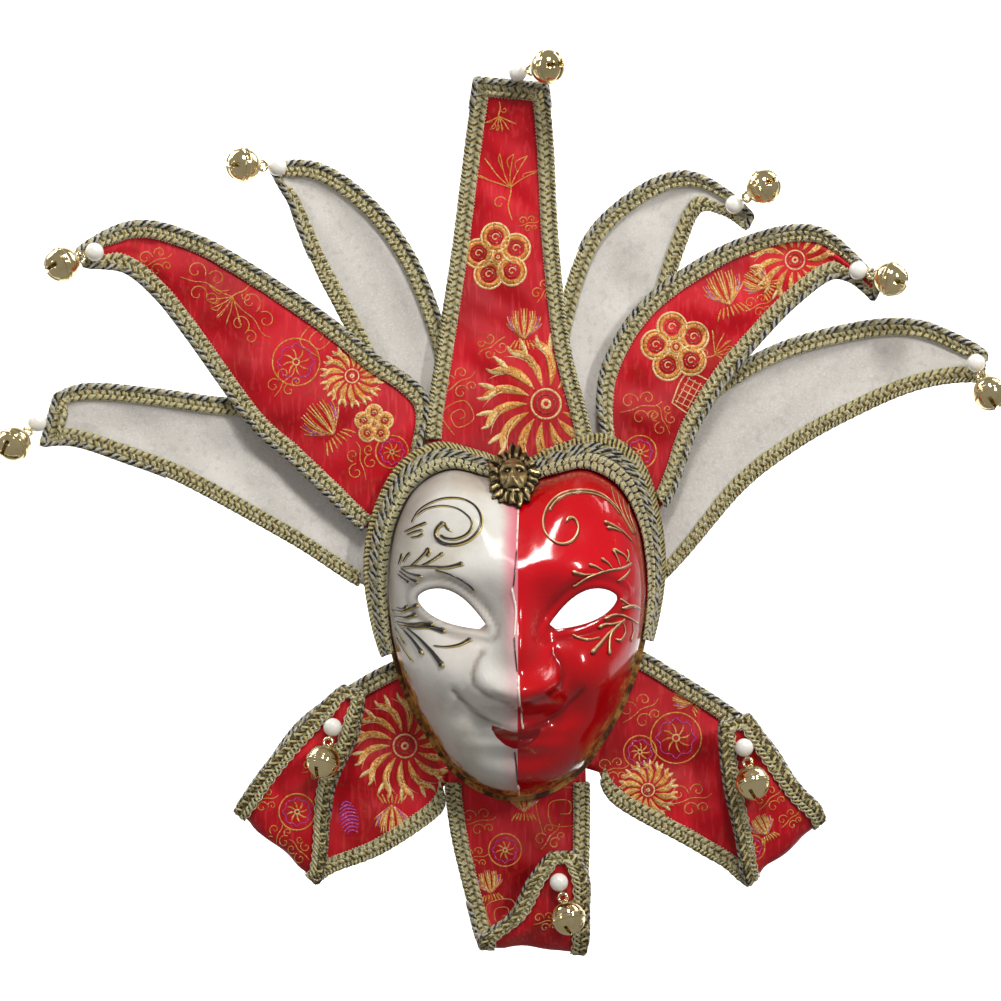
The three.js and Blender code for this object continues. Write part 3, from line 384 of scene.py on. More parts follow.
class Nodes:
    """Short ways to make and join shader nodes of one material"""

    def __init__(self, name):
        self.material = bpy.data.materials.new(name)
        self.material.use_nodes = True
        self.tree = self.material.node_tree
        self.tree.nodes.clear()
        self.shader = self.make("ShaderNodeBsdfPrincipled")
        output = self.make("ShaderNodeOutputMaterial")
        self.tree.links.new(self.shader.outputs[0], output.inputs[0])
        self.place = self.make("ShaderNodeTexCoord").outputs["Object"]

    def make(self, kind, **settings):
        node = self.tree.nodes.new(kind)
        for key, value in settings.items():
            setattr(node, key, value)
        return node

    def join(self, value, socket):
        if isinstance(value, bpy.types.NodeSocket):
            self.tree.links.new(value, socket)
        elif value is not None:
            socket.default_value = value

    def set(self, **values):
        for key, value in values.items():
            self.join(value, self.shader.inputs[key.replace("_", " ")])

    def attribute(self, name):
        return self.make("ShaderNodeAttribute", attribute_name=name).outputs["Fac"]

    def math(self, operation, a, b=None, c=None):
        node = self.make("ShaderNodeMath", operation=operation)
        for value, socket in zip((a, b, c), node.inputs):
            self.join(value, socket)
        return node.outputs[0]

    def times(self, a, b):
        return self.math("MULTIPLY", a, b)

    def plus(self, a, b):
        return self.math("ADD", a, b)

    def step(self, value, low, high):
        """0 below low, 1 above high and smooth between them; low may be above high"""
        node = self.make("ShaderNodeMapRange", interpolation_type="SMOOTHSTEP")
        self.join(value, node.inputs["Value"])
        node.inputs["From Min"].default_value = low
        node.inputs["From Max"].default_value = high
        return node.outputs[0]

    def mix(self, share, a, b, blend="MIX"):
        node = self.make("ShaderNodeMix", data_type="RGBA", blend_type=blend)
        self.join(share, node.inputs["Factor"])
        self.join(a, node.inputs["A"])
        self.join(b, node.inputs["B"])
        return node.outputs["Result"]

    def noise(self, scale, detail=3, roughness=0.5, stretch=None):
        node = self.make("ShaderNodeTexNoise")
        node.inputs["Scale"].default_value = scale
        node.inputs["Detail"].default_value = detail
        node.inputs["Roughness"].default_value = roughness
        place = self.place
        if stretch:
            mapping = self.make("ShaderNodeMapping")
            self.tree.links.new(place, mapping.inputs["Vector"])
            mapping.inputs["Scale"].default_value = stretch
            place = mapping.outputs[0]
        self.tree.links.new(place, node.inputs["Vector"])
        return node.outputs["Fac"]

    def cell_edges(self, scale):
        node = self.make("ShaderNodeTexVoronoi", feature="DISTANCE_TO_EDGE")
        node.inputs["Scale"].default_value = scale
        self.tree.links.new(self.place, node.inputs["Vector"])
        return node.outputs["Distance"]

    def axes(self):
        node = self.make("ShaderNodeSeparateXYZ")
        self.tree.links.new(self.place, node.inputs[0])
        return node.outputs

    def bump(self, height, distance, strength=1.0, base=None):
        node = self.make("ShaderNodeBump")
        node.inputs["Distance"].default_value = distance
        node.inputs["Strength"].default_value = strength
        self.join(height, node.inputs["Height"])
        if base is not None:
            self.tree.links.new(base, node.inputs["Normal"])
        return node.outputs[0]


def rgb(red, green, blue):
    return (red, green, blue, 1)


def face_material():
    n = Nodes("face_enamel")
    x, _, z = n.axes()
    stains = n.noise(28, 5, 0.6)
    white = n.mix(n.step(stains, 0.42, 0.72), rgb(0.66, 0.645, 0.6), rgb(0.52, 0.48, 0.4))
    blotch = n.noise(9, 3, 0.5)
    white = n.mix(n.times(n.step(blotch, 0.5, 0.68), 0.5), white, rgb(0.66, 0.575, 0.53))
    spray = n.plus(x, n.times(n.math("SUBTRACT", n.noise(60, 3), 0.5), 0.006))
    high = n.step(z, -0.045, 0.03)
    strength = n.plus(0.3, n.times(high, 0.45))
    band = n.times(n.step(spray, -0.0115, -0.001), strength)
    white = n.mix(band, white, rgb(0.66, 0.06, 0.14))
    red = n.mix(n.step(n.noise(14, 3), 0.35, 0.7), rgb(0.45, 0.001, 0.004), rgb(0.6, 0.001, 0.009))
    half = n.step(x, -0.0003, 0.0003)
    paint = n.mix(half, white, red)
    lips = n.step(n.attribute("lips"), -0.15, 0.35)
    paint = n.mix(lips, paint, rgb(0.24, 0.001, 0.004))
    # Painted shade in the creases, round the eyes and along the mouth, and a darkening towards the rim: dark
    # brown on the white half, dark red on the red half
    patina = n.times(n.attribute("patina"), n.plus(0.55, n.noise(90, 3)))
    dark = n.mix(half, rgb(0.16, 0.1, 0.065), rgb(0.14, 0.002, 0.003))
    paint = n.mix(n.times(patina, 0.85), paint, dark)
    ragged = n.times(n.math("SUBTRACT", n.noise(120, 3, 0.6), 0.5), 0.5)
    drips = n.plus(n.attribute("edge"), ragged)
    rust = n.mix(n.step(n.noise(150, 4, 0.7), 0.4, 0.62), rgb(0.07, 0.022, 0.006), rgb(0.46, 0.22, 0.045))
    paint = n.mix(n.step(drips, 0.5, 0.62), paint, rust)
    inside = n.attribute("inside")
    paint = n.mix(inside, paint, n.mix(stains, rgb(0.62, 0.6, 0.56), rgb(0.5, 0.47, 0.43)))
    grain = n.plus(n.noise(55, 4, 0.55), n.times(n.noise(420, 3), 0.16))
    normal = n.bump(grain, 0.0011, 0.55)
    matt = n.plus(0.2, n.times(inside, 0.4))
    rough = n.plus(matt, n.times(stains, 0.16))
    n.set(Base_Color=paint, Roughness=rough, Normal=normal, Coat_Roughness=0.1, Coat_IOR=1.45)
    n.shader.inputs["Specular IOR Level"].default_value = 0.05
    glaze = n.plus(0.18, n.times(half, 0.67))
    n.join(n.times(n.math("SUBTRACT", 1.0, inside), glaze), n.shader.inputs["Coat Weight"])
    n.join(n.bump(n.noise(38, 2, 0.4), 0.0005, 0.6), n.shader.inputs["Coat Normal"])
    return n.material


def thread_material(name, tones, metal, rough, bump=0.00025, pitch=0.62):
    """Twisted metallic thread; each strand's tone picks one of the colours"""
    n = Nodes(name)
    tone = n.attribute("tone")
    color = tones[0]
    for number, other in enumerate(tones[1:], 1):
        color = n.mix(n.step(tone, number - 0.5, number - 0.49), color, other)
    turns = n.plus(n.math("DIVIDE", n.attribute("along"), pitch), n.attribute("round"))
    twist = n.math("SINE", n.times(turns, 2 * math.pi))
    # Painted glints lighten some patches of the thread, and other patches are darker
    glints_and_dark_patches = n.noise(520, 2, 0.6)
    color = n.mix(n.step(glints_and_dark_patches, 0.52, 0.62), color, n.mix(0.6, color, rgb(1.0, 0.93, 0.6)))
    color = n.mix(n.step(glints_and_dark_patches, 0.42, 0.33), color, n.mix(0.6, color, rgb(0.03, 0.025, 0.01)))
    # Painted shade in the grooves between the twisted strands
    color = n.mix(n.times(n.step(twist, 0.0, -0.9), 0.25), color, rgb(0.06, 0.045, 0.015))
    normal = n.bump(twist, bump, 0.9)
    n.set(Base_Color=color, Metallic=metal, Roughness=rough, Normal=normal)
    return n.material


def cloth_material(name, red):
    n = Nodes(name)
    u, v = n.attribute("across"), n.attribute("along")
    rib = n.math("SINE", n.times(v, 2 * math.pi / 0.55))
    warp = n.math("SINE", n.times(u, 2 * math.pi / 0.5))
    weave = n.times(rib, warp)
    cloud = n.noise(16, 3)
    if red:
        color = n.mix(n.step(cloud, 0.35, 0.65), rgb(0.36, 0.001, 0.004), rgb(0.62, 0.003, 0.012))
        cells = n.cell_edges(62)
        ring = n.times(n.step(cells, 0.09, 0.045), n.step(n.noise(40, 2), 0.5, 0.56))
        color = n.mix(n.times(ring, 0.5), color, rgb(0.4, 0.02, 0.008))
        slub = n.noise(500, 2, 0.5, (1, 1, 0.12))
        color = n.mix(n.times(n.step(slub, 0.52, 0.66), 0.28), color, rgb(0.9, 0.06, 0.07))
        n.shader.inputs["Specular IOR Level"].default_value = 0.5
        n.shader.inputs["Specular Tint"].default_value = rgb(1, 0.55, 0.6)
        n.set(Anisotropic=0.45)
        rough = n.plus(0.34, n.times(cloud, 0.16))
        normal = n.bump(n.plus(weave, n.times(ring, 1.5)), 0.00006, 0.7)
    else:
        color = n.mix(n.step(cloud, 0.3, 0.7), rgb(0.64, 0.6, 0.55), rgb(0.78, 0.74, 0.68))
        glints = n.times(n.step(n.noise(900, 2, 0.6), 0.5, 0.66), 0.45)
        color = n.mix(glints, color, rgb(0.86, 0.86, 0.88))
        shades = n.times(n.step(n.noise(260, 3, 0.6), 0.5, 0.32), 0.3)
        color = n.mix(shades, color, rgb(0.42, 0.4, 0.4))
        n.set(Sheen_Weight=0.3, Sheen_Roughness=0.4)
        rough = n.plus(0.45, n.times(cloud, 0.2))
        normal = n.bump(n.plus(weave, n.noise(650, 2)), 0.00009, 0.8)
    n.set(Base_Color=color, Roughness=rough, Normal=normal)
    return n.material


def motif_material():
    """Woven gold floats: tone 0 orange gold, 1 pale gold, 2 red brown, 3 violet"""
    n = Nodes("woven_gold")
    tone = n.attribute("tone")
    color = n.mix(n.step(n.noise(70, 2), 0.4, 0.65), rgb(0.72, 0.3, 0.04), rgb(0.86, 0.46, 0.1))
    for number, other in enumerate((rgb(0.9, 0.68, 0.3), rgb(0.36, 0.03, 0.015), rgb(0.5, 0.06, 0.42)), 1):
        color = n.mix(n.step(tone, number - 0.5, number - 0.49), color, other)
    floats = n.math("SINE", n.times(n.attribute("along"), 2 * math.pi / 0.6))
    fleck = n.noise(900, 2, 0.6)
    color = n.mix(n.times(n.step(fleck, 0.5, 0.38), 0.6), color, rgb(0.45, 0.05, 0.012))
    color = n.mix(n.times(n.step(fleck, 0.58, 0.68), 0.6), color, rgb(1.0, 0.88, 0.6))
    n.set(Base_Color=color, Metallic=0.35, Roughness=0.36, Normal=n.bump(floats, 0.00012, 0.7))
    return n.material


def metal_material(name, bright, dark, rough, scale, worn):
    n = Nodes(name)
    smear = n.noise(scale, 4, 0.6)
    color = n.mix(n.step(smear, 0.4, 0.65), bright, n.mix(worn, bright, dark))
    n.set(Base_Color=color, Metallic=1.0, Roughness=n.plus(rough, n.times(smear, rough)),
          Normal=n.bump(n.noise(scale * 6, 3), 0.00005, 0.5))
    return n


def pearl_material():
    n = Nodes("pearl")
    swirl = n.noise(90, 3)
    color = n.mix(swirl, rgb(0.86, 0.82, 0.74), rgb(0.8, 0.8, 0.76))
    n.set(Base_Color=color, Roughness=n.plus(0.1, n.times(swirl, 0.1)), Coat_Weight=0.6,
          Coat_Roughness=0.08, Subsurface_Weight=0.15, Normal=n.bump(n.noise(300, 2), 0.00002, 0.4))
    n.shader.inputs["Subsurface Radius"].default_value = (0.002, 0.0015, 0.001)
    return n.material


def relief_material(name, low, high, metal, rough):
    """Relief paint in two tones"""
    n = Nodes(name)
    worn = n.noise(260, 3, 0.6)
    tone = n.attribute("tone")
    color = n.mix(n.step(tone, 0.4, 0.6), low, high)
    color = n.mix(n.times(n.step(worn, 0.56, 0.66), 0.5), color, low)
    n.set(Base_Color=color, Metallic=metal, Roughness=rough, Coat_Weight=0.7, Coat_Roughness=0.1,
          Normal=n.bump(worn, 0.0001, 0.5))
    return n.material


FACE = face_material()
GIMP = thread_material("gimp_thread", [rgb(1.0, 0.84, 0.35), rgb(0.22, 0.15, 0.045), rgb(1.0, 0.97, 0.64),
                                       rgb(0.035, 0.025, 0.01)], 0.1, 0.28)
CORD = thread_material("cord_thread", [rgb(0.018, 0.018, 0.018), rgb(0.72, 0.71, 0.66), rgb(0.5, 0.42, 0.18)],
                       0.15, 0.45)
TAPE = thread_material("gimp_tape", [rgb(0.045, 0.038, 0.018), rgb(0.12, 0.085, 0.035)], 0.1, 0.6)
RED = cloth_material("red_brocade", True)
WHITE = cloth_material("white_satin", False)
MOTIF = motif_material()
PEARL = pearl_material()
BRASS = metal_material("bell_brass", rgb(0.86, 0.72, 0.4), rgb(0.4, 0.3, 0.12), 0.06, 60, 0.35).material
RELIEF_LEFT = relief_material("relief_gold_black", rgb(0.03, 0.024, 0.015), rgb(0.56, 0.42, 0.12), 0.45, 0.3)
RELIEF_RIGHT = relief_material("relief_gold_red", rgb(0.16, 0.04, 0.015), rgb(0.72, 0.47, 0.22), 0.4, 0.28)
# The centre bead's pale tone is a painted highlight on the dark bead
BEAD = relief_material("relief_centre", rgb(0.05, 0.012, 0.015), rgb(0.85, 0.72, 0.66), 0.1, 0.25)


# Face shell

# Powers that shape the arch of the eyes
ARCH_LEAN = 0.72
ARCH_ROUND = 0.9


def almond(hand, x, z):
    """Place along one eye from 0 at the outer corner to 1, and its height over the eye's long line"""
    c, s = math.cos(EYE_SLANT * DEGREE), math.sin(EYE_SLANT * DEGREE)
    side, up = x - hand * EYE_SPACING / 2, z + EYE_DROP
    along, high = side * c + hand * up * s, -hand * side * s + up * c
    return 0.5 - hand * along / EYE_LENGTH, high


def almond_arch(share):
    return np.sin(math.pi * np.clip(share, 0, 1) ** ARCH_LEAN) ** ARCH_ROUND


def almond_line(hand, count=60):
    """Outline of one eye in the face plane"""
    share = (1 - np.cos(np.linspace(0, math.pi, count))) / 2
    top = np.stack([share, almond_arch(share) * EYE_RISE], 1)
    low = np.stack([share, -almond_arch(share) * EYE_FALL], 1)[::-1]
    line = np.concatenate([top, low])
    c, s = math.cos(EYE_SLANT * DEGREE), math.sin(EYE_SLANT * DEGREE)
    along, high = (0.5 - line[:, 0]) * hand * EYE_LENGTH, line[:, 1]
    return np.stack([hand * EYE_SPACING / 2 + along * c - hand * high * s,
                     -EYE_DROP + hand * along * s + high * c], 1)


def seen_line(points, hand=1):
    """A line of the face, given as it is seen against the rim plane, on the face itself"""
    points = np.asarray(points, float)
    x, z = from_view(points[:, 0], points[:, 1])
    return np.stack([hand * x, z], 1)


NOSE_CREASE = [(-19, -25), (-22.5, -31), (-24.5, -38), (-23, -43.5), (-16, -48.7), (-9, -50.8), (-4, -54),
               (0, -57)]
SMILE_CREASE = [(-35, -46), (-31, -50), (-24.5, -56.3), (-19, -60.6), (-13.8, -64), (-6, -67), (0, -68.8)]
MOUTH_LINE = [(-12.5, -67.6), (-7, -70.6), (0, -72.4), (7, -71), (12.5, -68)]
LIP_TOP = [(-14, -65), (-8, -66.8), (-2, -68.8), (2, -69.2), (8, -67.6), (14, -65.8)]
LIP_LOW = [(-14, -67.2), (-12, -71.2), (-7, -75.8), (-1, -78.4), (6, -76.4), (11, -72.4), (14, -68.6)]


# Rounds of the eye lids: height, distance from the eye hole and width, in millimetres
LID_SWELL = (0.9, 2.2, 2.0)
LID_CREASE = (-0.9, 5.8, 2.2)
BROW_SWELL = (0.7, 9.4, 2.6)
# Painted shade round the eyes and along the mouth: strength, distance and width
LID_SHADE = (0.45, 5.4, 1.5)
HOLE_SHADE = (0.8, 0, 1.0)
MOUTH_DEPTH = (-1.4, 0, 1.2)
MOUTH_SHADE = (0.9, 0, 0.8)


def ridge(away, size):
    """Smooth ridge at a distance from a line"""
    height, middle, wide = size
    return height * np.exp(-((away - middle) / wide) ** 2)


def face_detail(x, z):
    """Lids, creases and lips: height to add and how much painted shade lies in the creases, round the eyes and
    along the mouth
    """
    height, patina = np.zeros_like(x), np.zeros_like(x)
    for hand in (1, -1):
        share, high = almond(hand, x, z)
        arch = almond_arch(share)
        within = (share > 0) & (share < 1) & (high < arch * EYE_RISE) & (high > -arch * EYE_FALL)
        away = np.where(within, 0, path_distance(x, z, almond_line(hand)))
        height += ridge(away, LID_SWELL) + ridge(away, LID_CREASE)
        height += ridge(away, BROW_SWELL) * (high > 0)
        # Painted shade in the lid crease and at the eye hole's edge
        patina = np.maximum(patina, ridge(away, LID_SHADE))
        patina = np.maximum(patina, ridge(away, HOLE_SHADE))
        # Nose and smile creases, cut in and with painted shade along them
        for line, depth, wide in ((NOSE_CREASE, 2.0, 1.8), (SMILE_CREASE, 1.8, 1.6)):
            away = path_distance(x, z, seen_line(line, -hand))
            height -= depth * np.exp(-(away / wide) ** 2)
            patina = np.maximum(patina, (0.75 if hand < 0 else 0.9) * np.exp(-(away / (wide * 0.75)) ** 2))
    # Mouth line, cut in and with painted shade along it
    away = path_distance(x, z, seen_line(MOUTH_LINE))
    height += ridge(away, MOUTH_DEPTH)
    patina = np.maximum(patina, ridge(away, MOUTH_SHADE))
    return height, patina


def lip_depth(x, z):
    """Distance inside the lips, and below 0 outside them"""
    top, low = seen_line(LIP_TOP), seen_line(LIP_LOW)
    upper = np.interp(x, top[:, 0], top[:, 1], left=-1e3, right=-1e3)
    lower = np.interp(x, low[:, 0], low[:, 1], left=1e3, right=1e3)
    return np.clip(np.minimum(upper - z, z - lower), -3, 3)


# Thickness that is left under the deepest crease
LEAST_WALL = 0.7


def face_shell(steps):
    line = np.linspace(-1, 1, steps + 1)
    a, b = np.meshgrid(line, line)
    u, v = a * np.sqrt(1 - b * b / 2), b * np.sqrt(1 - a * a / 2)
    share = np.sin(np.minimum(1, np.hypot(u, v)) * math.pi / 2) ** 0.85
    turn = np.arctan2(v, u)
    base = outline_radius(turn) - RIM_LIP
    x, z = np.cos(turn) * share * base, np.sin(turn) * share * base
    inside_eye = np.zeros_like(x, bool)
    for hand in (1, -1):
        place, high = almond(hand, x, z)
        arch = almond_arch(place)
        inside_eye |= (place > 0) & (place < 1) & (high < arch * EYE_RISE) & (high > -arch * EYE_FALL)
    corner = [inside_eye[:-1, :-1], inside_eye[:-1, 1:], inside_eye[1:, 1:], inside_eye[1:, :-1]]
    kept = ~(corner[0] & corner[1] & corner[2] & corner[3])
    for hand in (1, -1):
        outline = almond_line(hand, 200)
        near = inside_eye & (x * hand > 0)
        for row, column in np.argwhere(near):
            away = (outline[:, 0] - x[row, column]) ** 2 + (outline[:, 1] - z[row, column]) ** 2
            best = outline[away.argmin()]
            x[row, column], z[row, column] = best
    base = outline_radius(np.arctan2(z, x)) - RIM_LIP
    share = np.minimum(1, np.hypot(x, z) / base)
    height, patina = face_detail(x, z)
    height = np.maximum(height, LEAST_WALL - SHELL_WALL)
    # The face also grows darker towards the rim
    patina = np.maximum(patina, 0.5 * smoothstep(0.8, 1.0, share))
    depth = face_depth(x, z) + height * (1 - share ** 6)
    shrink = 1 - SHELL_WALL / base * share ** 6
    outer = np.stack([x, -depth, z], -1).reshape(-1, 3)
    inner_depth = face_depth(x, z) - SHELL_WALL
    inner = np.stack([x * shrink, -inner_depth, z * shrink], -1).reshape(-1, 3)
    index = np.arange((steps + 1) ** 2).reshape(steps + 1, steps + 1)
    quads = np.stack([index[:-1, :-1], index[:-1, 1:], index[1:, 1:], index[1:, :-1]], -1)[kept]
    count = len(outer)
    used = {}
    for quad in quads:
        for one, two in zip(quad, np.roll(quad, -1)):
            used[(min(one, two), max(one, two))] = used.get((min(one, two), max(one, two)), 0) + 1
    rim = np.concatenate([index[0, :-1], index[:-1, -1], index[-1, :0:-1], index[:0:-1, 0]])
    rim_pairs = {(min(p, q), max(p, q)) for p, q in zip(rim, np.roll(rim, -1))}
    faces = quads.tolist() + (quads[:, ::-1] + count).tolist()
    for (one, two), times in used.items():
        if times == 1 and (one, two) not in rim_pairs:
            faces.append((one, two, two + count, one + count))
    turns = turn.reshape(-1)[rim]
    reach = outline_radius(turns)
    rings = []
    profile = [(-RIM_LIP + 0.8, -SHELL_WALL), (-0.5, -SHELL_WALL), (0, -SHELL_WALL + 0.5), (0, -0.5),
               (-0.5, 0)]
    for inward, y in profile:
        rings.append(np.stack([np.cos(turns) * (reach + inward), np.full(len(rim), y),
                               np.sin(turns) * (reach + inward)], 1))
    points = np.concatenate([outer, inner] + rings)
    rows = [rim] + [2 * count + number * len(rim) + np.arange(len(rim)) for number in range(len(profile))]
    rows.append(rim + count)
    for one, two in zip(rows[:-1], rows[1:]):
        faces += np.stack([one, np.roll(one, -1), np.roll(two, -1), two], 1).tolist()
    extra = np.concatenate([turns] * len(profile))
    jaw = smoothstep(0.25, -0.1, np.sin(extra))
    edge = np.concatenate([(share.reshape(-1) ** 9) * smoothstep(10, -30, z.reshape(-1)) * 0.9,
                           np.zeros(count), jaw])
    inside = np.concatenate([np.zeros(count), np.ones(count), np.zeros(len(extra))])
    lips = np.concatenate([lip_depth(x, z).reshape(-1), np.full(count + len(extra), -3.0)])
    dark = np.concatenate([patina.reshape(-1), np.zeros(count + len(extra))])
    builder = Builder()
    builder.add(points, faces, edge=edge, inside=inside, lips=lips, patina=dark)
    return builder.build("face_shell_enamelled", FACE, "face_enamel", ["face_shell"])


# Relief paint on the face, on a sheet of sketch units: each line is its start radius, its end
# radius and its places, and a dot ends the line where the end radius is large

SKETCH_UNIT = 0.1375
SKETCH_ROW_UNIT = 0.1406
SKETCH_AXIS = (728, 734.6)
LEFT_RELIEF = [
    (0.35, 0.9, [(305, 405), (330, 362), (370, 332), (430, 310), (500, 310), (555, 335), (583, 380),
                 (578, 425), (545, 465), (500, 487), (450, 490), (415, 475), (402, 448), (412, 422),
                 (436, 404)]),
    (0.3, 0.6, [(322, 378), (370, 348), (430, 338), (490, 350), (535, 382), (547, 412), (528, 447),
                (485, 467), (445, 466), (420, 452)]),
    (0.6, 0.45, [(436, 402), (447, 424), (462, 438)]),
    (0.3, 0.6, [(275, 440), (320, 420), (365, 403)]),
    (0.3, 0.5, [(285, 452), (320, 438), (350, 432)]),
    (0.3, 0.5, [(300, 462), (330, 458), (352, 446)]),
    (0.4, 0.8, [(262, 580), (320, 574), (390, 577), (450, 578), (512, 563)]),
    (0.3, 0.7, [(300, 575), (335, 545), (360, 520), (368, 505), (378, 515), (366, 535)]),
    (0.3, 0.75, [(340, 574), (385, 552), (432, 522)]),
    (0.35, 0.7, [(262, 584), (300, 604), (345, 612)]),
    (0.35, 0.7, [(255, 592), (290, 618), (330, 636)]),
    (0.35, 0.7, [(250, 604), (275, 625), (300, 640)]),
    (0.3, 0.5, [(400, 590), (440, 600), (485, 618), (530, 645), (560, 672)]),
    (0.3, 0.5, [(270, 560), (285, 535), (300, 520)]),
    (0.3, 0.7, [(252, 570), (262, 545), (268, 525)]),
    (0.35, 0.8, [(225, 745), (262, 752), (300, 738), (332, 724)]),
    (0.35, 0.8, [(235, 770), (280, 775), (325, 762)]),
    (0.35, 0.8, [(245, 735), (268, 742), (292, 730)]),
    (0.45, 0.9, [(240, 792), (290, 800), (340, 800), (392, 798)]),
    (0.45, 1.0, [(258, 806), (320, 812), (380, 815), (440, 826)]),
    (0.5, 1.0, [(250, 795), (285, 835), (318, 872), (350, 915)]),
    (0.45, 1.25, [(285, 815), (330, 850), (375, 895), (405, 930), (432, 965)]),
    (0.35, 0.8, [(392, 885), (440, 890), (495, 882), (545, 858)]),
    (0.3, 0.6, [(240, 815), (262, 850), (280, 880)]),
    (0.3, 0.6, [(245, 850), (275, 900), (310, 945)]),
]
RIGHT_RELIEF = [
    (0.4, 0.7, [(1192, 445), (1165, 400), (1130, 350), (1085, 306), (1040, 284), (985, 277), (925, 285),
                (878, 310), (845, 352), (832, 400), (840, 442), (870, 474), (905, 488), (942, 478),
                (966, 450), (971, 418), (957, 390), (934, 386), (923, 404)]),
    (0.3, 0.5, [(1140, 375), (1100, 326), (1050, 297), (990, 287), (930, 295), (885, 320), (856, 358)]),
    (0.3, 0.3, [(1192, 452), (1150, 380), (1118, 320), (1103, 262)]),
    (0.3, 0.3, [(1196, 452), (1160, 390), (1137, 330), (1128, 285)]),
    (0.3, 0.3, [(1200, 450), (1172, 390), (1155, 345), (1150, 308)]),
    (0.3, 0.3, [(1204, 446), (1186, 400), (1176, 365), (1172, 330)]),
    (0.35, 0.9, [(1188, 478), (1150, 440), (1110, 415), (1073, 402)]),
    (0.3, 0.8, [(1150, 442), (1115, 428), (1085, 424)]),
    (0.45, 0.7, [(1188, 560), (1150, 580), (1100, 590), (1050, 602), (1000, 622), (950, 655)]),
    (0.3, 0.8, [(1185, 572), (1168, 548), (1150, 528), (1110, 508)]),
    (0.3, 0.8, [(1140, 578), (1128, 545), (1108, 512)]),
    (0.3, 0.8, [(1110, 586), (1090, 562), (1062, 545)]),
    (0.3, 0.8, [(1075, 594), (1045, 578), (1012, 568)]),
    (0.3, 1.0, [(1040, 604), (990, 606), (948, 596)]),
    (0.3, 0.7, [(1180, 584), (1160, 610), (1128, 632)]),
    (0.3, 0.7, [(1165, 560), (1172, 535), (1166, 510)]),
    (0.4, 0.8, [(1222, 742), (1190, 728), (1145, 738)]),
    (0.4, 0.8, [(1215, 800), (1170, 775), (1120, 762), (1075, 782)]),
    (0.45, 1.0, [(1150, 790), (1110, 800), (1075, 800), (1050, 812)]),
    (0.5, 0.9, [(1160, 780), (1120, 815), (1098, 850), (1092, 920)]),
    (0.5, 1.2, [(1140, 800), (1095, 835), (1055, 880), (1022, 915)]),
    (0.35, 0.7, [(1060, 852), (1020, 862), (980, 858), (948, 842)]),
    (0.3, 0.7, [(1150, 790), (1160, 830), (1140, 862), (1120, 860)]),
    (0.3, 0.6, [(1190, 790), (1192, 830), (1180, 868)]),
    (0.3, 0.6, [(1205, 740), (1170, 722), (1140, 702)]),
]
# Centre bead line: start radius, end radius, tone and places; tone 1 paints a highlight on the dark bead over
# the brow, nose and chin, and tone 0 is the bead's own dark colour
CENTRE_BEADS = [
    (0.8, 0.7, 1, [(733, 350), (731, 400), (729, 450), (727, 512)]),
    (0.6, 0.6, 0, [(726, 514), (722, 560), (718, 610), (714, 655)]),
    (0.9, 0.6, 1, [(708, 660), (716, 700), (724, 740), (722, 800), (718, 850)]),
    (0.7, 0.5, 0, [(717, 852), (720, 900), (725, 950), (729, 990)]),
    (0.9, 0.8, 1, [(734, 1000), (734, 1040), (736, 1080), (740, 1124)]),
    (0.6, 0.5, 0, [(742, 1128), (744, 1145)]),
    (0.6, 0.9, 1, [(746, 1148), (747, 1180), (752, 1212)]),
    (0.7, 0.5, 0, [(718, 1300), (724, 1340), (728, 1390), (730, 1425)]),
    (1.0, 0.5, 1, [(732, 1430), (736, 1460), (738, 1480)]),
]


def tree_of(piece):
    return BVHTree.FromPolygons([v.co.copy() for v in piece.data.vertices],
                                [tuple(p.vertices) for p in piece.data.polygons])


def cast(tree, x, z):
    """Where the line of sight through a place of the rim plane meets a surface, with its normal"""
    eye = Vector((CAMERA_X, -CAMERA_DISTANCE, CAMERA_Z)) * MM
    points, normals, hits = [], [], []
    for px, pz in zip(x, z):
        way = Vector((px, 0, pz)) * MM - eye
        place, normal = tree.ray_cast(eye, way.normalized())[:2]
        hits.append(place is not None)
        points.append(tuple(place / MM) if place is not None else (0, 0, 0))
        normals.append(tuple(normal if place is not None and normal.y < 0 else (0, -1, 0)))
    return np.array(points), np.array(normals), np.array(hits)


def relief_line(builder, tree, start, end, places, tone, shift=(0, 0), scale=1.0, lift=0.35):
    sketch = smooth_path(places, 7)
    x = (sketch[:, 0] - SKETCH_AXIS[0]) * SKETCH_UNIT + shift[0]
    z = (SKETCH_AXIS[1] - sketch[:, 1]) * SKETCH_ROW_UNIT + shift[1]
    points, normals, hits = cast(tree, x, z)
    points, normals = points[hits], normals[hits]
    if len(points) < 4:
        return
    share = np.linspace(0, 1, len(points))
    radius = start + (end - start) * share ** 1.5
    dot = np.clip((share - 1) * len(points) / 3 + 1, 0, 1)
    radius = radius * scale * (1 + 0.35 * dot * (end > 0.75))
    radius[0] *= 0.3
    radius[-1] *= 0.45
    builder.tube(points + normals * (radius * lift)[:, None], normals, radius, radius * 0.85, 7, tone)


def relief_paint(tree):
    left, right, beads = Builder(), Builder(), Builder()
    for start, end, places in LEFT_RELIEF:
        relief_line(left, tree, start, end, places, 0, (0, 0), 1.3)
        relief_line(left, tree, start, end, places, 1, (0.8, -0.55), 0.8, 0.6)
    for start, end, places in RIGHT_RELIEF:
        relief_line(right, tree, start, end, places, 0, (0.35, -0.45), 1.2)
        relief_line(right, tree, start, end, places, 1, (0, 0.1), 0.75, 1.5)
    for start, end, tone, places in CENTRE_BEADS:
        relief_line(beads, tree, start, end, places, tone, (0, 0), 0.72, 0.4)
    left.build("relief_paint_left", RELIEF_LEFT, "face_enamel")
    right.build("relief_paint_right", RELIEF_RIGHT, "face_enamel")
    beads.build("relief_centre_line", BEAD, "face_enamel")


# Cloth points, flaps and their edging

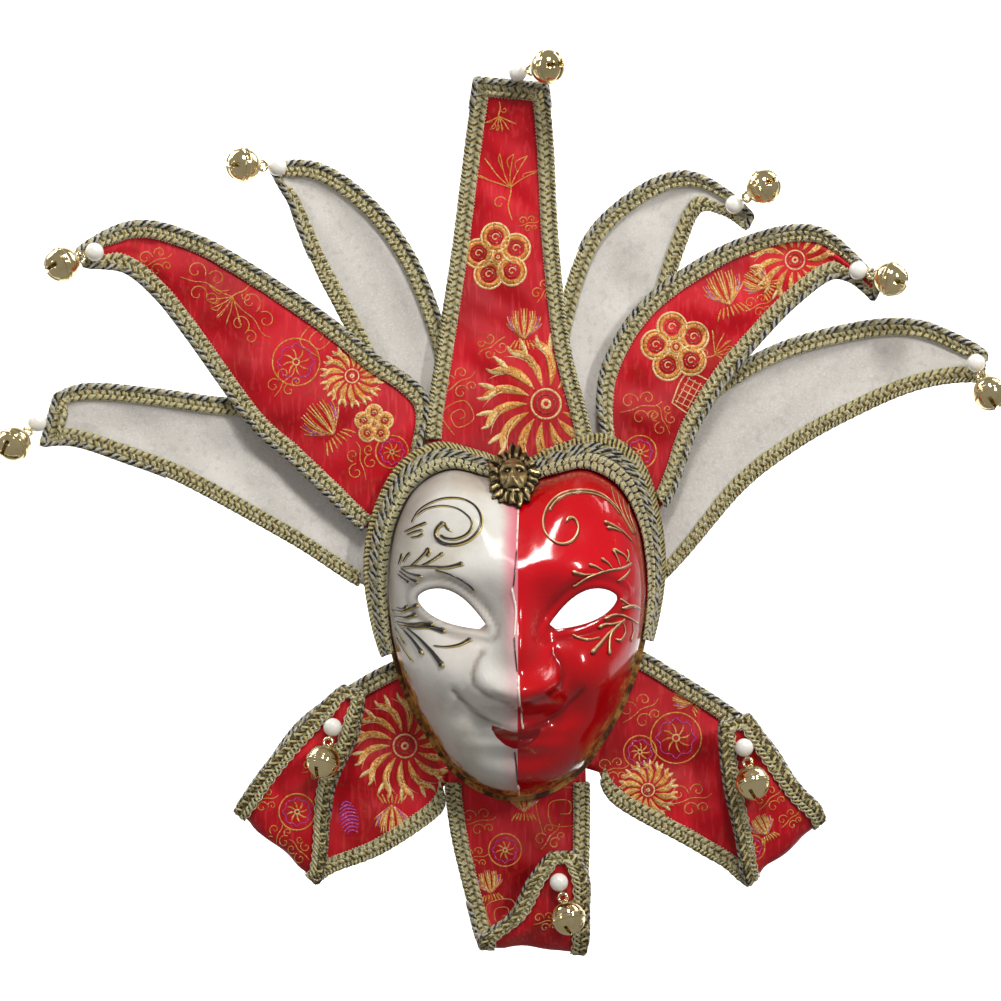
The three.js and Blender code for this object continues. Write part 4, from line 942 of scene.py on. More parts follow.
def strip_frame(strip, place):
    rows = strip["rows"]
    place = np.atleast_1d(np.asarray(place, float))
    last = len(rows) - 1
    root = strip["root"] * DEGREE
    anchor = float(outline_radius(root)) - ROOT_TUCK

    def middle(row):
        x = math.cos(root) * anchor + smooth_column(rows[:, 0], row) * strip["reach"]
        z = math.sin(root) * anchor + smooth_column(rows[:, 1], row) * strip["reach"]
        return np.stack([x, strip["layer"] - smooth_column(rows[:, 4], row) * strip["fore_unit"], z], -1)

    turn = smooth_column(rows[:, 3], place) * DEGREE
    near = (last - 1) / (strip["steps"] - 1)
    travel = middle(np.minimum(place + near, last)) - middle(np.maximum(place - near, 0))
    across = np.stack([np.cos(turn), np.zeros_like(turn), np.sin(turn)], -1)
    onward = travel - across * (travel * across).sum(-1, keepdims=True)
    if strip["folds"]:
        normal = unit(np.cross(onward, across))
        along = unit(onward)
    else:
        normal = np.broadcast_to(np.array([0.0, 1.0, 0.0]), across.shape)
        along = onward / np.hypot(onward[:, 0], onward[:, 2])[:, None]
    width = smooth_column(rows[:, 2], place) * strip["root_width"]
    return dict(middle=middle(place), across=across, normal=normal, along=along, width=width)


def bowed(strip, points):
    if strip["folds"]:
        return points
    beyond = np.maximum(0, np.hypot(points[..., 0], points[..., 2]) - BOWL_START) / BOWL_REACH
    bent = points.copy()
    bent[..., 1] -= BOWL_LIFT * beyond ** 2
    return bent


def lip_width(width):
    return np.minimum(EDGING_WIDTH, width * 0.4)


# Wave lengths and heights of the cloth's soft folds, in millimetres
WRINKLES = [(52, 1.0), (33, 1.0), (21, 0.5), (13, 0.16)]


def wrinkle(strip, across, along):
    """Soft undulation of the cloth, from its own seed"""
    seed = sum(ord(letter) for letter in strip["name"])
    height = np.zeros_like(across)
    for number, (length, rise) in enumerate(WRINKLES):
        turn = (seed * (number + 1) * 37 % 360) * DEGREE
        way = across * math.cos(turn) + along * math.sin(turn)
        height += rise * np.sin(2 * math.pi * way / length + seed * number)
    return height


# How far each section of a flap's root goes behind the rim, and how far back it lies
ROOT_STEPS = [(8, 4.6), (2.5, 2.6)]


def cloth_piece(strip, columns=18, spacing=2.4):
    last = len(strip["rows"]) - 1
    fine = np.linspace(0, last, 500)
    middles = strip_frame(strip, fine)["middle"]
    run = run_along(middles)
    stations = np.interp(np.linspace(0, run[-1], int(run[-1] / spacing)), run, fine)
    f = strip_frame(strip, stations)
    along_mm = np.interp(stations, fine, run)
    inset = EDGING_WALL + CHANNEL_GAP
    half = f["width"] / 2 - inset
    flat = f["width"] / 2 - lip_width(f["width"])
    v = np.linspace(-1, 1, columns + 1)
    across = half[:, None] * v
    inner = np.clip(1 - np.abs(across) / flat[:, None], 0, 1)
    dome = 1 - (1 - inner) ** 2
    first, final = 1 + 0.6 * (last - 1) / (strip["steps"] - 1), last - 1.2 * (last - 1) / (strip["steps"] - 1)
    ramp = smoothstep(1, first + 0.6, stations) * smoothstep(last, final - 0.4, stations)
    lift = strip["swell"] * (f["width"] * ramp)[:, None] * dome
    calm = smoothstep(0, 0.35, inner) * (ramp if not strip["folds"] else smoothstep(0, 0.6, stations)
                                         * smoothstep(last, last - 0.8, stations))[:, None]
    softness = 1.0 if strip["cloth"] == "red_brocade" else 0.6
    lift = lift + wrinkle(strip, across, along_mm[:, None] + 0 * across) * calm * softness
    end = np.zeros(len(stations))
    end[-1] = inset
    centre = f["middle"][:, None, :] + across[..., None] * f["across"][:, None, :] \
        - end[:, None, None] * f["along"][:, None, :]
    if strip["folds"]:
        onward = f["along"][:1, None, :]
        roots = [centre[:1] - onward * back + np.array([0, step, 0]) for back, step in ROOT_STEPS]
        centre = np.concatenate(roots + [centre])
        f = {key: np.concatenate([value[:1]] * len(roots) + [value]) for key, value in f.items()}
        lift, across = (np.concatenate([value[:1]] * len(roots) + [value]) for value in (lift, across))
        along_mm = np.concatenate([[-back for back, step in ROOT_STEPS], along_mm])
        half = np.concatenate([half[:1]] * len(roots) + [half])
    sides = []
    for sign in (-1, 1):
        shift = sign * CLOTH_THICKNESS / 2 - lift
        sides.append(bowed(strip, centre + shift[..., None] * f["normal"][:, None, :]))
    count = sides[0].shape[1]
    rings = np.concatenate([sides[0], sides[1][:, ::-1]], axis=1)
    builder = Builder()
    values_across = np.concatenate([across, across[:, ::-1]], 1)
    values_along = np.repeat(along_mm[:, None], 2 * count, 1)
    index = np.arange(rings.shape[0] * rings.shape[1]).reshape(rings.shape[:2])
    faces = ring_quads(index)
    for row in (index[0], index[-1]):
        for column in range(count - 1):
            other = 2 * count - 1 - column
            faces.append((row[column], row[column + 1], row[other - 1], row[other]))
    builder.add(rings.reshape(-1, 3), faces, across=values_across, along=values_along)
    material = RED if strip["cloth"] == "red_brocade" else WHITE
    piece = builder.build(strip["name"] + "_cloth", material, strip["cloth"], [strip["name"]])
    return piece


def edge_path(strip, spacing):
    """Stations once round a strip's edge: place, way into the cloth, normal and lip"""
    last = len(strip["rows"]) - 1
    fine = np.linspace(FLAP_ROPE_START if strip["folds"] else 1, last, 420)
    f = strip_frame(strip, fine)
    half = f["width"][:, None] / 2
    lip = lip_width(f["width"])
    sides = []
    for sign in (-1, 1):
        place = f["middle"] + sign * f["across"] * half
        steps = np.linalg.norm(np.diff(place, axis=0), axis=1)
        left = steps.sum() - np.concatenate([[0], np.cumsum(steps)])
        turn_in = np.clip(1 - left / lip[-1], 0, 1)[:, None]
        ways = -sign * f["across"] - f["along"] * turn_in
        sides.append(np.concatenate([place, ways, f["normal"], lip[:, None]], 1))
    count = 24
    share = np.linspace(0, 1, count + 2)[1:-1, None]
    tip = sides[0][-1:, :3] * (1 - share) + sides[1][-1:, :3] * share
    across, along = f["across"][-1], f["along"][-1]
    width = f["width"][-1]
    lean = np.clip(1 - share * width / lip[-1], 0, 1) - np.clip(1 - (1 - share) * width / lip[-1], 0, 1)
    ways = -along + across * lean
    normals = np.repeat(f["normal"][-1:], count, 0)
    middle = np.concatenate([tip, ways, normals, np.full((count, 1), lip[-1])], 1)
    whole = np.concatenate([sides[0], middle, sides[1][::-1]])
    run = run_along(whole[:, :3])
    at = np.arange(0, run[-1], spacing)
    even = np.stack([np.interp(at, run, whole[:, column]) for column in range(10)], 1)
    return at, even[:, :3], even[:, 3:6], unit(even[:, 6:9]), even[:, 9]


def edge_point(strip, path, depth, height):
    _, place, inward, normal, _ = path
    return bowed(strip, place + inward * np.reshape(depth, (-1, 1)) + normal * np.reshape(height, (-1, 1)))


# Sizes of gimp, its loops and the threads, in millimetres
ROPE_THICK = 0.85
ROPE_HALF = 0.5
LOOP_SWING = 0.55
LOOP_PITCH = 1.9
LOOP_RADIUS = 0.34
TRIM_THREAD = 0.35
SEAT_THREAD = 0.5
KNOT_RADIUS = 0.8
KNOT_THREAD = 0.4


def flat_ropes(builder, point, at, width, ropes, level, side, normals):
    """Gimp as flat ropes side by side: each has a middle and a half width in shares of the band,
    a pitch, a hand and a tone for each strand"""
    for middle, half, pitch, hand, tones in ropes:
        for number, tone in enumerate(tones):
            phase = hand * 2 * math.pi * at / pitch + 2 * math.pi * number / len(tones)
            depth = width * (middle + half * np.cos(phase))
            height = level + side * ROPE_HALF * np.sin(phase)
            thick = np.minimum(ROPE_THICK, width * half * 0.75)
            builder.tube(point(depth, height), normals, thick, ROPE_HALF, 3, tone)


def scallops(builder, point, at, width, depth, level, normals, tone):
    """Small loops of thread along one side of the gimp"""
    swing = LOOP_SWING * np.sin(2 * math.pi * at / LOOP_PITCH)
    path = point(width * depth + swing, np.full(len(at), level))
    builder.tube(path, normals, LOOP_RADIUS, LOOP_RADIUS, 3, tone)


def twisted(builder, centre, normals, at, radius, strand, pitch, tones, sides=5, start=0.0):
    """Cord of strands that wind round a line"""
    tangent = unit(np.gradient(centre, axis=0))
    side = unit(np.cross(tangent, normals))
    upward = np.cross(side, tangent)
    count = len(tones)
    for number, tone in enumerate(tones):
        phase = 2 * math.pi * (at / pitch + number / count) + start
        path = centre + radius * (np.cos(phase)[:, None] * side + np.sin(phase)[:, None] * upward)
        builder.tube(path, normals, strand, strand, sides, tone)


# Place among a flap's rows where its gimp begins, a little nearer the shell than the plain edging
FLAP_ROPE_START = 0.3

FRONT_ROPES = [(0.16, 0.12, 4.4, 1, (1, 0, 3, 2)), (0.45, 0.14, 4.0, -1, (0, 1, 2)),
               (0.75, 0.14, 4.0, 1, (2, 0, 1))]
BACK_ROPES = [(0.3, 0.2, 5.2, 1, (0, 1)), (0.7, 0.2, 5.2, -1, (2, 0))]


# Twisted cord on the edges: its radius, its strand's and its pitch in millimetres, and its place
EDGE_CORD = (1.15, 0.85, 9.5)
EDGE_CORD_PLACE = (1.0, -2.2)


def edging_piece(strip):
    name = strip["name"]
    tape, gimp, cord = Builder(), Builder(), Builder()
    path = edge_path(strip, 2.4)
    lip = path[4]
    outer, inner, start = 1.95, 1.25, 0.3
    corners = [(start, -outer), (1, -outer), (1, -inner), (1, -inner),
               (1, inner), (1, inner), (1, outer), (start, outer)]
    rings = []
    for number, (depth, height) in enumerate(corners):
        inset = lip - 0.9 if number in (1, 2, 5, 6) else np.full(len(lip), depth)
        rings.append(edge_point(strip, path, inset, height))
    tape.rings(np.stack(rings, 1), True, tone=0, along=0, round=0)
    for sign, spacing, ropes in ((-1, 0.9, FRONT_ROPES), (1, 1.4, BACK_ROPES)):
        path = edge_path(strip, spacing)
        at, lip, normals = path[0], path[4], path[3] * sign
        level = sign * (EDGING_HALF - 0.75)

        def point(depth, height):
            return edge_point(strip, path, depth, height)

        flat_ropes(gimp, point, at, lip, ropes, level, sign, normals)
        scallops(gimp, point, at, lip, 0.93, level, normals, 2)
    path = edge_path(strip, 0.8)
    low, high = (int(share * (len(path[0]) - 1)) for share in strip["cord"])
    part = [value[low:high + 1] for value in path]
    depth, height = (np.full(len(part[0]), value) for value in EDGE_CORD_PLACE)
    centre = edge_point(strip, part, depth, height)
    twisted(cord, centre, -part[3], part[0], *EDGE_CORD, (0, 1, 0, 1, 2), 3)
    base = tape.build(name + "_tape", TAPE, "gold_braid", [name + "_edging"])
    gimp.build(name + "_gimp", GIMP, "gold_braid")
    cord.build(name + "_cord", CORD, "gold_braid")
    return base


# Woven figures. Each is drawn round (0, 0) with a radius of 1, as lines with a width in millimetres,
# a tone and a swelling in the middle

def petal_lines(count, inner, outer, width, lean, tone, fork=0.0):
    lines = []
    for number in range(count):
        turn = 2 * math.pi * number / count
        points = []
        for share in np.linspace(0, 1, 7):
            reach = inner + (outer - inner) * share
            angle = turn + lean * share * share
            points.append((reach * math.cos(angle), reach * math.sin(angle)))
        lines.append((points, width, tone, 1.0))
        if fork:
            x, y = points[-2]
            angle = turn + lean
            for side in (-1, 1):
                bend = (x + fork * math.cos(angle + side * 0.9), y + fork * math.sin(angle + side * 0.9))
                onward = angle + side * 0.1
                tip = (bend[0] + fork * math.cos(onward), bend[1] + fork * math.sin(onward))
                lines.append(([points[-3], bend, tip], width * 0.55, 1, 0.8))
    return lines


def ring_line(radius, width, tone, count=20, centre=(0, 0), wave=0.0, waves=5, start=0.0):
    angles = np.linspace(0, 2 * math.pi, count + 1) + start
    reach = radius * (1 + wave * np.cos(waves * angles))
    points = [(centre[0] + r * math.cos(a), centre[1] + r * math.sin(a)) for r, a in zip(reach, angles)]
    return [(points, width, tone, 0.0)]


def chrysanthemum():
    lines = petal_lines(14, 0.28, 0.96, 3.9, 0.35, 0, 0.12)
    lines += petal_lines(14, 0.34, 0.86, 0.8, 0.37, 2)
    lines += petal_lines(14, 0.28, 0.94, 0.7, 0.5, 1) + petal_lines(14, 0.28, 0.94, 0.7, 0.22, 1)
    lines += ring_line(0.22, 0.9, 1) + ring_line(0.14, 0.8, 2) + ring_line(0.06, 1.2, 1, 8)
    return lines


def plum_blossom():
    lines = []
    for number in range(5):
        turn = 2 * math.pi * number / 5 + math.pi / 2
        centre = (0.56 * math.cos(turn), 0.56 * math.sin(turn))
        for radius, width, tone in ((0.4, 1.5, 1), (0.3, 2.6, 0), (0.17, 0.9, 2)):
            lines += ring_line(radius, width, tone, 18, centre, 0.0, 7, turn)
        for angle in np.linspace(0, 2 * math.pi, 12, endpoint=False):
            ends = [(centre[0] + reach * math.cos(angle), centre[1] + reach * math.sin(angle))
                    for reach in (0.25, 0.37)]
            lines.append((ends, 0.5, 2, 0.0))
        curl = [(centre[0] + 0.12 * math.cos(a) * (1 - a / 9), centre[1] + 0.12 * math.sin(a) * (1 - a / 9))
                for a in np.linspace(0, 5.5, 10)]
        lines.append((curl, 0.8, 1, 0.0))
        stem = [(reach * math.cos(turn), reach * math.sin(turn)) for reach in (0.1, 0.3)]
        lines.append((stem, 1.6, 0, 0.5))
    return lines + ring_line(0.14, 1.6, 0, 12) + ring_line(0.05, 1.3, 1, 8)


def lotus():
    lines = []
    petals = [(-1.05, 0.8), (-0.7, 0.95), (-0.35, 1.05), (0, 1.1), (0.35, 1.05), (0.7, 0.95), (1.05, 0.8)]
    for turn, reach in petals:
        tip = (reach * math.sin(turn), reach * math.cos(turn) * 0.9)
        swell = (0.75 * reach * math.sin(turn * 1.25), 0.5 * reach * math.cos(turn))
        petal = [(0, -0.3), (swell[0] * 0.6, 0.0), swell, tip]
        for shift, tone in ((-0.09, 0), (0.0, 1 if abs(turn) < 0.5 else 3), (0.09, 0)):
            lines.append(([(x + shift * (y + 0.4), y) for x, y in petal], 1.1, tone, 0.5))
    for side in (-0.9, -0.6, -0.3, 0, 0.3, 0.6, 0.9):
        lines.append(([(side * 0.4, -0.35), (side * 0.6, -0.6), (side * 0.7, -0.75)], 1.2, 0, 0.6))
    return lines


def sprig():
    lines = [([(0.05, -1), (-0.02, -0.6), (0.08, -0.25), (0.1, 0.0)], 0.8, 0, 0.2)]
    for x, y in ((-0.95, 0.35), (-0.55, 0.75), (-0.12, 0.85), (0.25, 0.8), (0.62, 0.72), (0.95, 0.3)):
        lines.append(([(0.08, -0.1), (x * 0.45, y * 0.35), (x, y)], 0.65, 0, 0.2))
        lines.append(([(x * 0.5, y * 0.4), (x * 0.62 - 0.1, y * 0.8), (x, y)], 0.5, 0, 0.2))
    curl = [(-0.25 + 0.2 * math.cos(a) * (1 - a / 9), -0.5 + 0.2 * math.sin(a) * (1 - a / 9))
            for a in np.linspace(0.3, 6, 12)]
    return lines + [(curl, 0.6, 0, 0.0)]


def curls():
    lines = []
    rolls = [(-0.5, 0.3, 0.42, 1), (0.35, 0.45, 0.34, -1), (0.0, -0.45, 0.4, 1), (0.62, -0.35, 0.28, -1)]
    for x, y, size, way in rolls:
        points = [(x + way * size * math.cos(a) * (1 - a / 8.5), y + size * math.sin(a) * (1 - a / 8.5))
                  for a in np.linspace(0, 7, 15)]
        lines.append((points, 0.6, 0, 0.0))
    lines.append(([(-0.9, -0.2), (-0.4, -0.1), (0.1, 0.1), (0.7, 0.1), (1, 0.3)], 0.6, 0, 0.2))
    return lines


def lattice():
    lines = []
    for at in (-0.7, -0.35, 0.0, 0.35, 0.7):
        lines.append(([(-0.8, at), (0.8, at)], 0.6, 1, 0.0))
        lines.append(([(at, -0.8), (at, 0.8)], 0.6, 1, 0.0))
    frame_line = [(-0.9, -0.9), (0.9, -0.9), (0.9, 0.9), (-0.9, 0.9), (-0.9, -0.9)]
    return lines + [(frame_line, 0.9, 1, 0.0)]


def fret():
    key = [(-1, -1), (-1, 1), (1, 1), (1, -0.6), (-0.45, -0.6), (-0.45, 0.5), (0.5, 0.5), (0.5, -0.1),
           (0, -0.1)]
    return [(key, 0.6, 0, 0.0)]


def rosette():
    lines = ring_line(1, 0.9, 0) + ring_line(0.72, 0.6, 3, 20, (0, 0), 0.12, 8)
    lines += petal_lines(8, 0.1, 0.6, 1.1, 0.3, 0)
    return lines + ring_line(0.14, 1.0, 1, 8)


def leaf():
    lines = []
    for at in np.linspace(-0.8, 0.8, 9):
        reach = 0.55 * (1 - at * at) ** 0.5
        lines.append(([(-reach, at - 0.22), (0, at), (reach, at - 0.18)], 1.3, 3, 0.6))
    return lines


FIGURES = dict(chrysanthemum=chrysanthemum, plum=plum_blossom, lotus=lotus, sprig=sprig, curls=curls,
               lattice=lattice, fret=fret, rosette=rosette, leaf=leaf)

# Figure, its place in the photograph's frame, radius in millimetres, turn in degrees
FIGURE_TABLE = {
    "top_point": [("sprig", 507, 184, 20, 5), ("plum", 498, 257, 19.5, 8), ("lotus", 524, 332, 13, 0),
                  ("chrysanthemum", 546, 404, 37, 0), ("curls", 458, 384, 11, 20), ("curls", 528, 224, 6, 0),
                  ("curls", 545, 292, 8, 40), ("curls", 492, 345, 9, 200),
                  ("fret", 459, 418, 7, 30), ("sprig", 500, 118, 9, 180)],
    "left_point": [("curls", 203, 284, 14, -30), ("sprig", 232, 300, 15, 130), ("curls", 250, 318, 15, -60),
                   ("curls", 155, 262, 10, 10), ("rosette", 296, 362, 13, 0), ("curls", 284, 384, 10, 40),
                   ("chrysanthemum", 352, 376, 17, 30), ("lotus", 328, 428, 16, 40),
                   ("plum", 374, 424, 11, 0), ("rosette", 392, 452, 9, 0), ("curls", 362, 462, 11, 90),
                   ("fret", 318, 340, 7, 50)],
    "right_point": [("plum", 676, 347, 20, 12), ("lattice", 694, 396, 10, -28),
                    ("lotus", 727, 297, 15, 20), ("chrysanthemum", 795, 260, 24, 0),
                    ("curls", 640, 408, 12, 0), ("sprig", 716, 352, 12, -60),
                    ("lotus", 762, 284, 11, 60), ("rosette", 640, 452, 9, 0), ("curls", 664, 420, 9, 100),
                    ("curls", 758, 306, 8, 10)],
    "left_flap": [("chrysanthemum", 405, 746, 29, 0), ("leaf", 348, 816, 10, 12),
                  ("rosette", 297, 812, 10, 0), ("curls", 262, 800, 9, 0),
                  ("lotus", 392, 812, 13, 180), ("curls", 315, 770, 8, 0),
                  ("curls", 278, 838, 9, 60), ("curls", 425, 700, 9, 0), ("curls", 300, 850, 8, 120)],
    "centre_flap": [("curls", 478, 822, 10, 0), ("fret", 560, 812, 11, 8), ("lotus", 524, 806, 11, 0),
                    ("lotus", 490, 888, 10, 10), ("rosette", 505, 850, 9, 0), ("curls", 550, 838, 9, 40),
                    ("curls", 474, 858, 8, 0), ("fret", 502, 915, 7, 12), ("curls", 545, 922, 7, 0)],
    "right_flap": [("rosette", 676, 738, 14, 0), ("curls", 640, 712, 12, 20),
                   ("chrysanthemum", 648, 790, 16, 0), ("curls", 690, 800, 12, 0),
                   ("rosette", 640, 752, 9, 30), ("lotus", 690, 700, 10, 60),
                   ("curls", 770, 800, 9, 30), ("lotus", 765, 830, 9, 30), ("rosette", 752, 848, 7, 0),
                   ("curls", 612, 770, 9, 0), ("curls", 790, 820, 7, 30)],
}


# Radius past which a figure's lines grow with it
LARGE_FIGURE = 25


# How deep a woven line goes into the cloth and how high it stands, in millimetres
WOVEN_DEPTH = 0.12
WOVEN_HEIGHT = 0.22
# Step in depth at which a line of sight has left one layer of cloth for another
LAYER_STEP = 1.5


def figures_on(strip, tree):
    builder = Builder()
    for kind, column, row, radius, turn in FIGURE_TABLE[strip["name"]]:
        centre_x, centre_z = photo_place(column, row)
        c, s = math.cos(turn * DEGREE), math.sin(turn * DEGREE)
        for points, width, tone, swell in FIGURES[kind]():
            width *= max(1, radius / LARGE_FIGURE)
            points = np.asarray(points, float) * radius
            flat = smooth_path(points, 1.25) if len(points) > 2 else even_path(points, 1.25)
            x = centre_x + flat[:, 0] * c - flat[:, 1] * s
            z = centre_z + flat[:, 0] * s + flat[:, 1] * c
            places, normals, hits = cast(tree, x, z)
            near = np.concatenate([[True], np.abs(np.diff(places[:, 1])) < LAYER_STEP])
            runs, current = [], []
            for number in range(len(places)):
                if hits[number] and (near[number] or not current):
                    current.append(number)
                else:
                    runs.append(current)
                    current = [number] if hits[number] else []
            runs.append(current)
            for run in runs:
                if len(run) < 3:
                    continue
                share = np.array(run) / (len(places) - 1)
                half = width / 2 * (1 - swell + swell * np.sin(math.pi * np.clip(share, 0.02, 0.98)) ** 0.8)
                way = unit(np.gradient(places[run], axis=0))
                side = unit(np.cross(way, normals[run])) * half[:, None]
                centre, up = places[run], normals[run]
                low, top = centre - up * WOVEN_DEPTH, centre + up * WOVEN_HEIGHT
                rings = np.stack([low - side, low + side, top + side * 0.7, top - side * 0.7], 1)
                length = run_along(centre)
                builder.rings(rings, True, tone=tone, along=np.repeat(length, 4))
    return builder.build(strip["name"] + "_woven_figures", MOTIF, "red_brocade")


# Forehead braid

def braid_point(turn, width, share, lift):
    inner = outline_radius(turn) - RIM_LIP + BRAID_CLEARANCE
    reach = inner + width * share
    forward = BRAID_FLOOR + 8.5 - 0.5 * share - 4.5 * share ** 2 + lift
    return np.stack([np.cos(turn) * reach, np.broadcast_to(-forward, reach.shape), np.sin(turn) * reach], -1)


def braid_stations(spacing):
    fine = np.linspace(0, len(BRAID) - 1, 900)
    turn = smooth_column(BRAID[:, 0], fine) * DEGREE
    width = smooth_column(BRAID[:, 1], fine) * BRAID_WIDTH
    middle = braid_point(turn, width, 0.5, 0)
    run = run_along(middle)
    at = np.arange(0, run[-1], spacing)
    return at, np.interp(at, run, turn), np.interp(at, run, width)


BROW_ROPES = [(0.1, 0.1, 4.2, 1, (2, 3, 2, 0)), (0.31, 0.1, 4.2, -1, (2, 0, 2, 3)),
              (0.85, 0.13, 4.6, 1, (0, 1, 0, 3))]


def forehead_braid():
    base, gimp, cord = Builder(), Builder(), Builder()
    _, turn, width = braid_stations(2.5)
    shares = (0.02, 0.25, 0.5, 0.75, 0.98)
    top = [braid_point(turn, width, share, -1.5) for share in shares]
    low = [braid_point(turn, width, share, -3.2 - 5.5 * share * (1 - share)) for share in shares[::-1]]
    base.rings(np.stack(top + low, 1), True, tone=1, along=0, round=0)
    at, turn, width = braid_stations(0.7)
    forward = unit(np.stack([np.cos(turn) * 0.35, -np.ones_like(turn), np.sin(turn) * 0.35], -1))

    def point(depth, height):
        return braid_point(turn, width, depth / width, height)

    flat_ropes(gimp, point, at, width, BROW_ROPES, 0.1, 1, forward)
    scallops(gimp, point, at, width, 0.0, 0.2, forward, 2)
    for share, phase in ((0.5, 0.0), (0.64, 1.6)):
        centre = braid_point(turn, width, share, 0.15)
        radius = np.minimum(1.05, width * 0.075)[:, None]
        twisted(cord, centre, forward, at, radius, 0.75, 10.5, (0, 1, 2, 0, 1), 4, phase)
    base.build("forehead_braid_tape", TAPE, "gold_braid", ["forehead_braid"])
    gimp.build("forehead_braid_gimp", GIMP, "gold_braid")
    cord.build("forehead_braid_cord", CORD, "gold_braid")


# Bells, pearls and threads

def trim_places(strip):
    """Middle of the pearl and of the bell, the way from the bell to the pearl, and the way out of the cloth"""
    radius = PEARL_DIAMETER / 2
    last = len(strip["rows"]) - 1
    on_tip = "pearl_row" not in strip
    row = last if on_tip else strip["pearl_row"]
    f = {key: value[0] for key, value in strip_frame(strip, row).items()}
    tilt = (40 if on_tip else 90) * DEGREE
    forward = f["normal"] * -np.sign(f["normal"][1])
    seat = CLOTH_THICKNESS / 2 if strip["folds"] else EDGING_HALF
    stretch = 1.0
    if not on_tip and not strip["folds"]:
        below, above = (bowed(strip, strip_frame(strip, row + step)["middle"])[0] for step in (-0.5, 0.5))
        rise = above - below
        stretch = math.hypot(1, rise[1] / math.hypot(rise[0], rise[2]))
    height = (seat + (radius + GAP) * math.sin(tilt)) * stretch
    pearl = bowed(strip, (f["middle"] + f["across"] * strip["across"] * f["width"])[None])[0]
    ahead = unit(f["along"] - forward * (f["along"] @ forward))
    pearl = pearl + ahead * (radius + GAP) * math.cos(tilt) + forward * height
    reach = radius + GAP + BELL_TOP
    rise = EDGING_HALF + 3 * GAP + BELL_DIAMETER / 2 + (0 if strip["folds"] else BELL_STAND) - height
    hang = np.array([math.cos(strip["hang"] * DEGREE), 0, math.sin(strip["hang"] * DEGREE)])
    hang = unit(hang - forward * (hang @ forward))
    bell = pearl + hang * math.sqrt(reach ** 2 - rise ** 2) + forward * rise
    return pearl, bell, unit(pearl - bell), forward


def bell_shape():
    """Hollow bell round the origin: a domed top, a rolled equator and four petals below"""
    radius = BELL_DIAMETER / 2
    profile = []
    for angle in np.linspace(-90, -9, 16):
        profile.append((radius * 0.965 * math.cos(angle * DEGREE), radius * math.sin(angle * DEGREE)))
    profile += [(radius * 0.955, -1.5), (radius * 0.99, -1.25), (radius, -0.7), (radius * 0.985, -0.15),
                (radius * 0.985, 0.15), (radius, 0.7), (radius * 0.99, 1.25), (radius * 0.945, 1.5)]
    for angle in np.linspace(10, 90, 16):
        profile.append((radius * 0.955 * math.cos(angle * DEGREE), radius * math.sin(angle * DEGREE)))
    hollow = [(x * 0.86, y * 0.87) for x, y in profile]
    sides, pole = 40, 0.05
    turns = [2 * math.pi * k / sides for k in range(sides)]
    shape = bmesh.new()
    for run, flip in ((profile, False), (hollow, True)):
        rings = []
        for x, y in run:
            if x < pole:
                rings.append([shape.verts.new((0, 0, y))])
            else:
                rings.append([shape.verts.new((x * math.cos(turn), x * math.sin(turn), y)) for turn in turns])
        for one, two in zip(rings[:-1], rings[1:]):
            for k in range(sides):
                near, far = k, k + 1
                loop = [one[near % len(one)], one[far % len(one)], two[far % len(two)], two[near % len(two)]]
                loop = list(dict.fromkeys(loop))
                if len(loop) > 2:
                    shape.faces.new(loop[::-1] if flip else loop)
    mesh = bpy.data.meshes.new("bell_stock")
    shape.to_mesh(mesh)
    shape.free()
    stock = add_object("bell_stock", mesh)
    cutter_shape = bmesh.new()
    half_turn = Vector((0, 0, 1)).to_track_quat("Z", "Y").to_matrix()
    for turn in (0, 90):
        made = bmesh.ops.create_cube(cutter_shape, size=1)["verts"]
        bmesh.ops.scale(cutter_shape, vec=(BELL_DIAMETER * 0.8, 2.2, radius), verts=made)
        bmesh.ops.translate(cutter_shape, vec=(0, 0, -radius * 0.75), verts=made)
        bmesh.ops.rotate(cutter_shape, cent=(0, 0, 0), verts=made, matrix=half_turn)
        if turn:
            for vert in made:
                vert.co = Vector((-vert.co.y, vert.co.x, vert.co.z))
    mesh = bpy.data.meshes.new("bell_cut")
    cutter_shape.to_mesh(mesh)
    cutter_shape.free()
    cutter = add_object("bell_cut", mesh)
    modifier = stock.modifiers.new("slits", "BOOLEAN")
    modifier.object = cutter
    modifier.operation = "DIFFERENCE"
    modifier.solver = "EXACT"
    modifier.use_self = True
    result = stock.evaluated_get(bpy.context.evaluated_depsgraph_get()).to_mesh()
    points = np.array([v.co for v in result.vertices], float)
    faces = [tuple(p.vertices) for p in result.polygons]
    bpy.data.objects.remove(stock)
    bpy.data.objects.remove(cutter)
    return points, faces


def frame_along(way):
    way = unit(np.asarray(way, float))
    side = unit(np.cross(way, (0.31, 0.95, 0.1)))
    return side, np.cross(way, side), way


def ring_path(centre, side, upward, radius, count=28):
    angles = np.linspace(0, 2 * math.pi, count)
    return centre + radius * (np.cos(angles)[:, None] * side + np.sin(angles)[:, None] * upward)


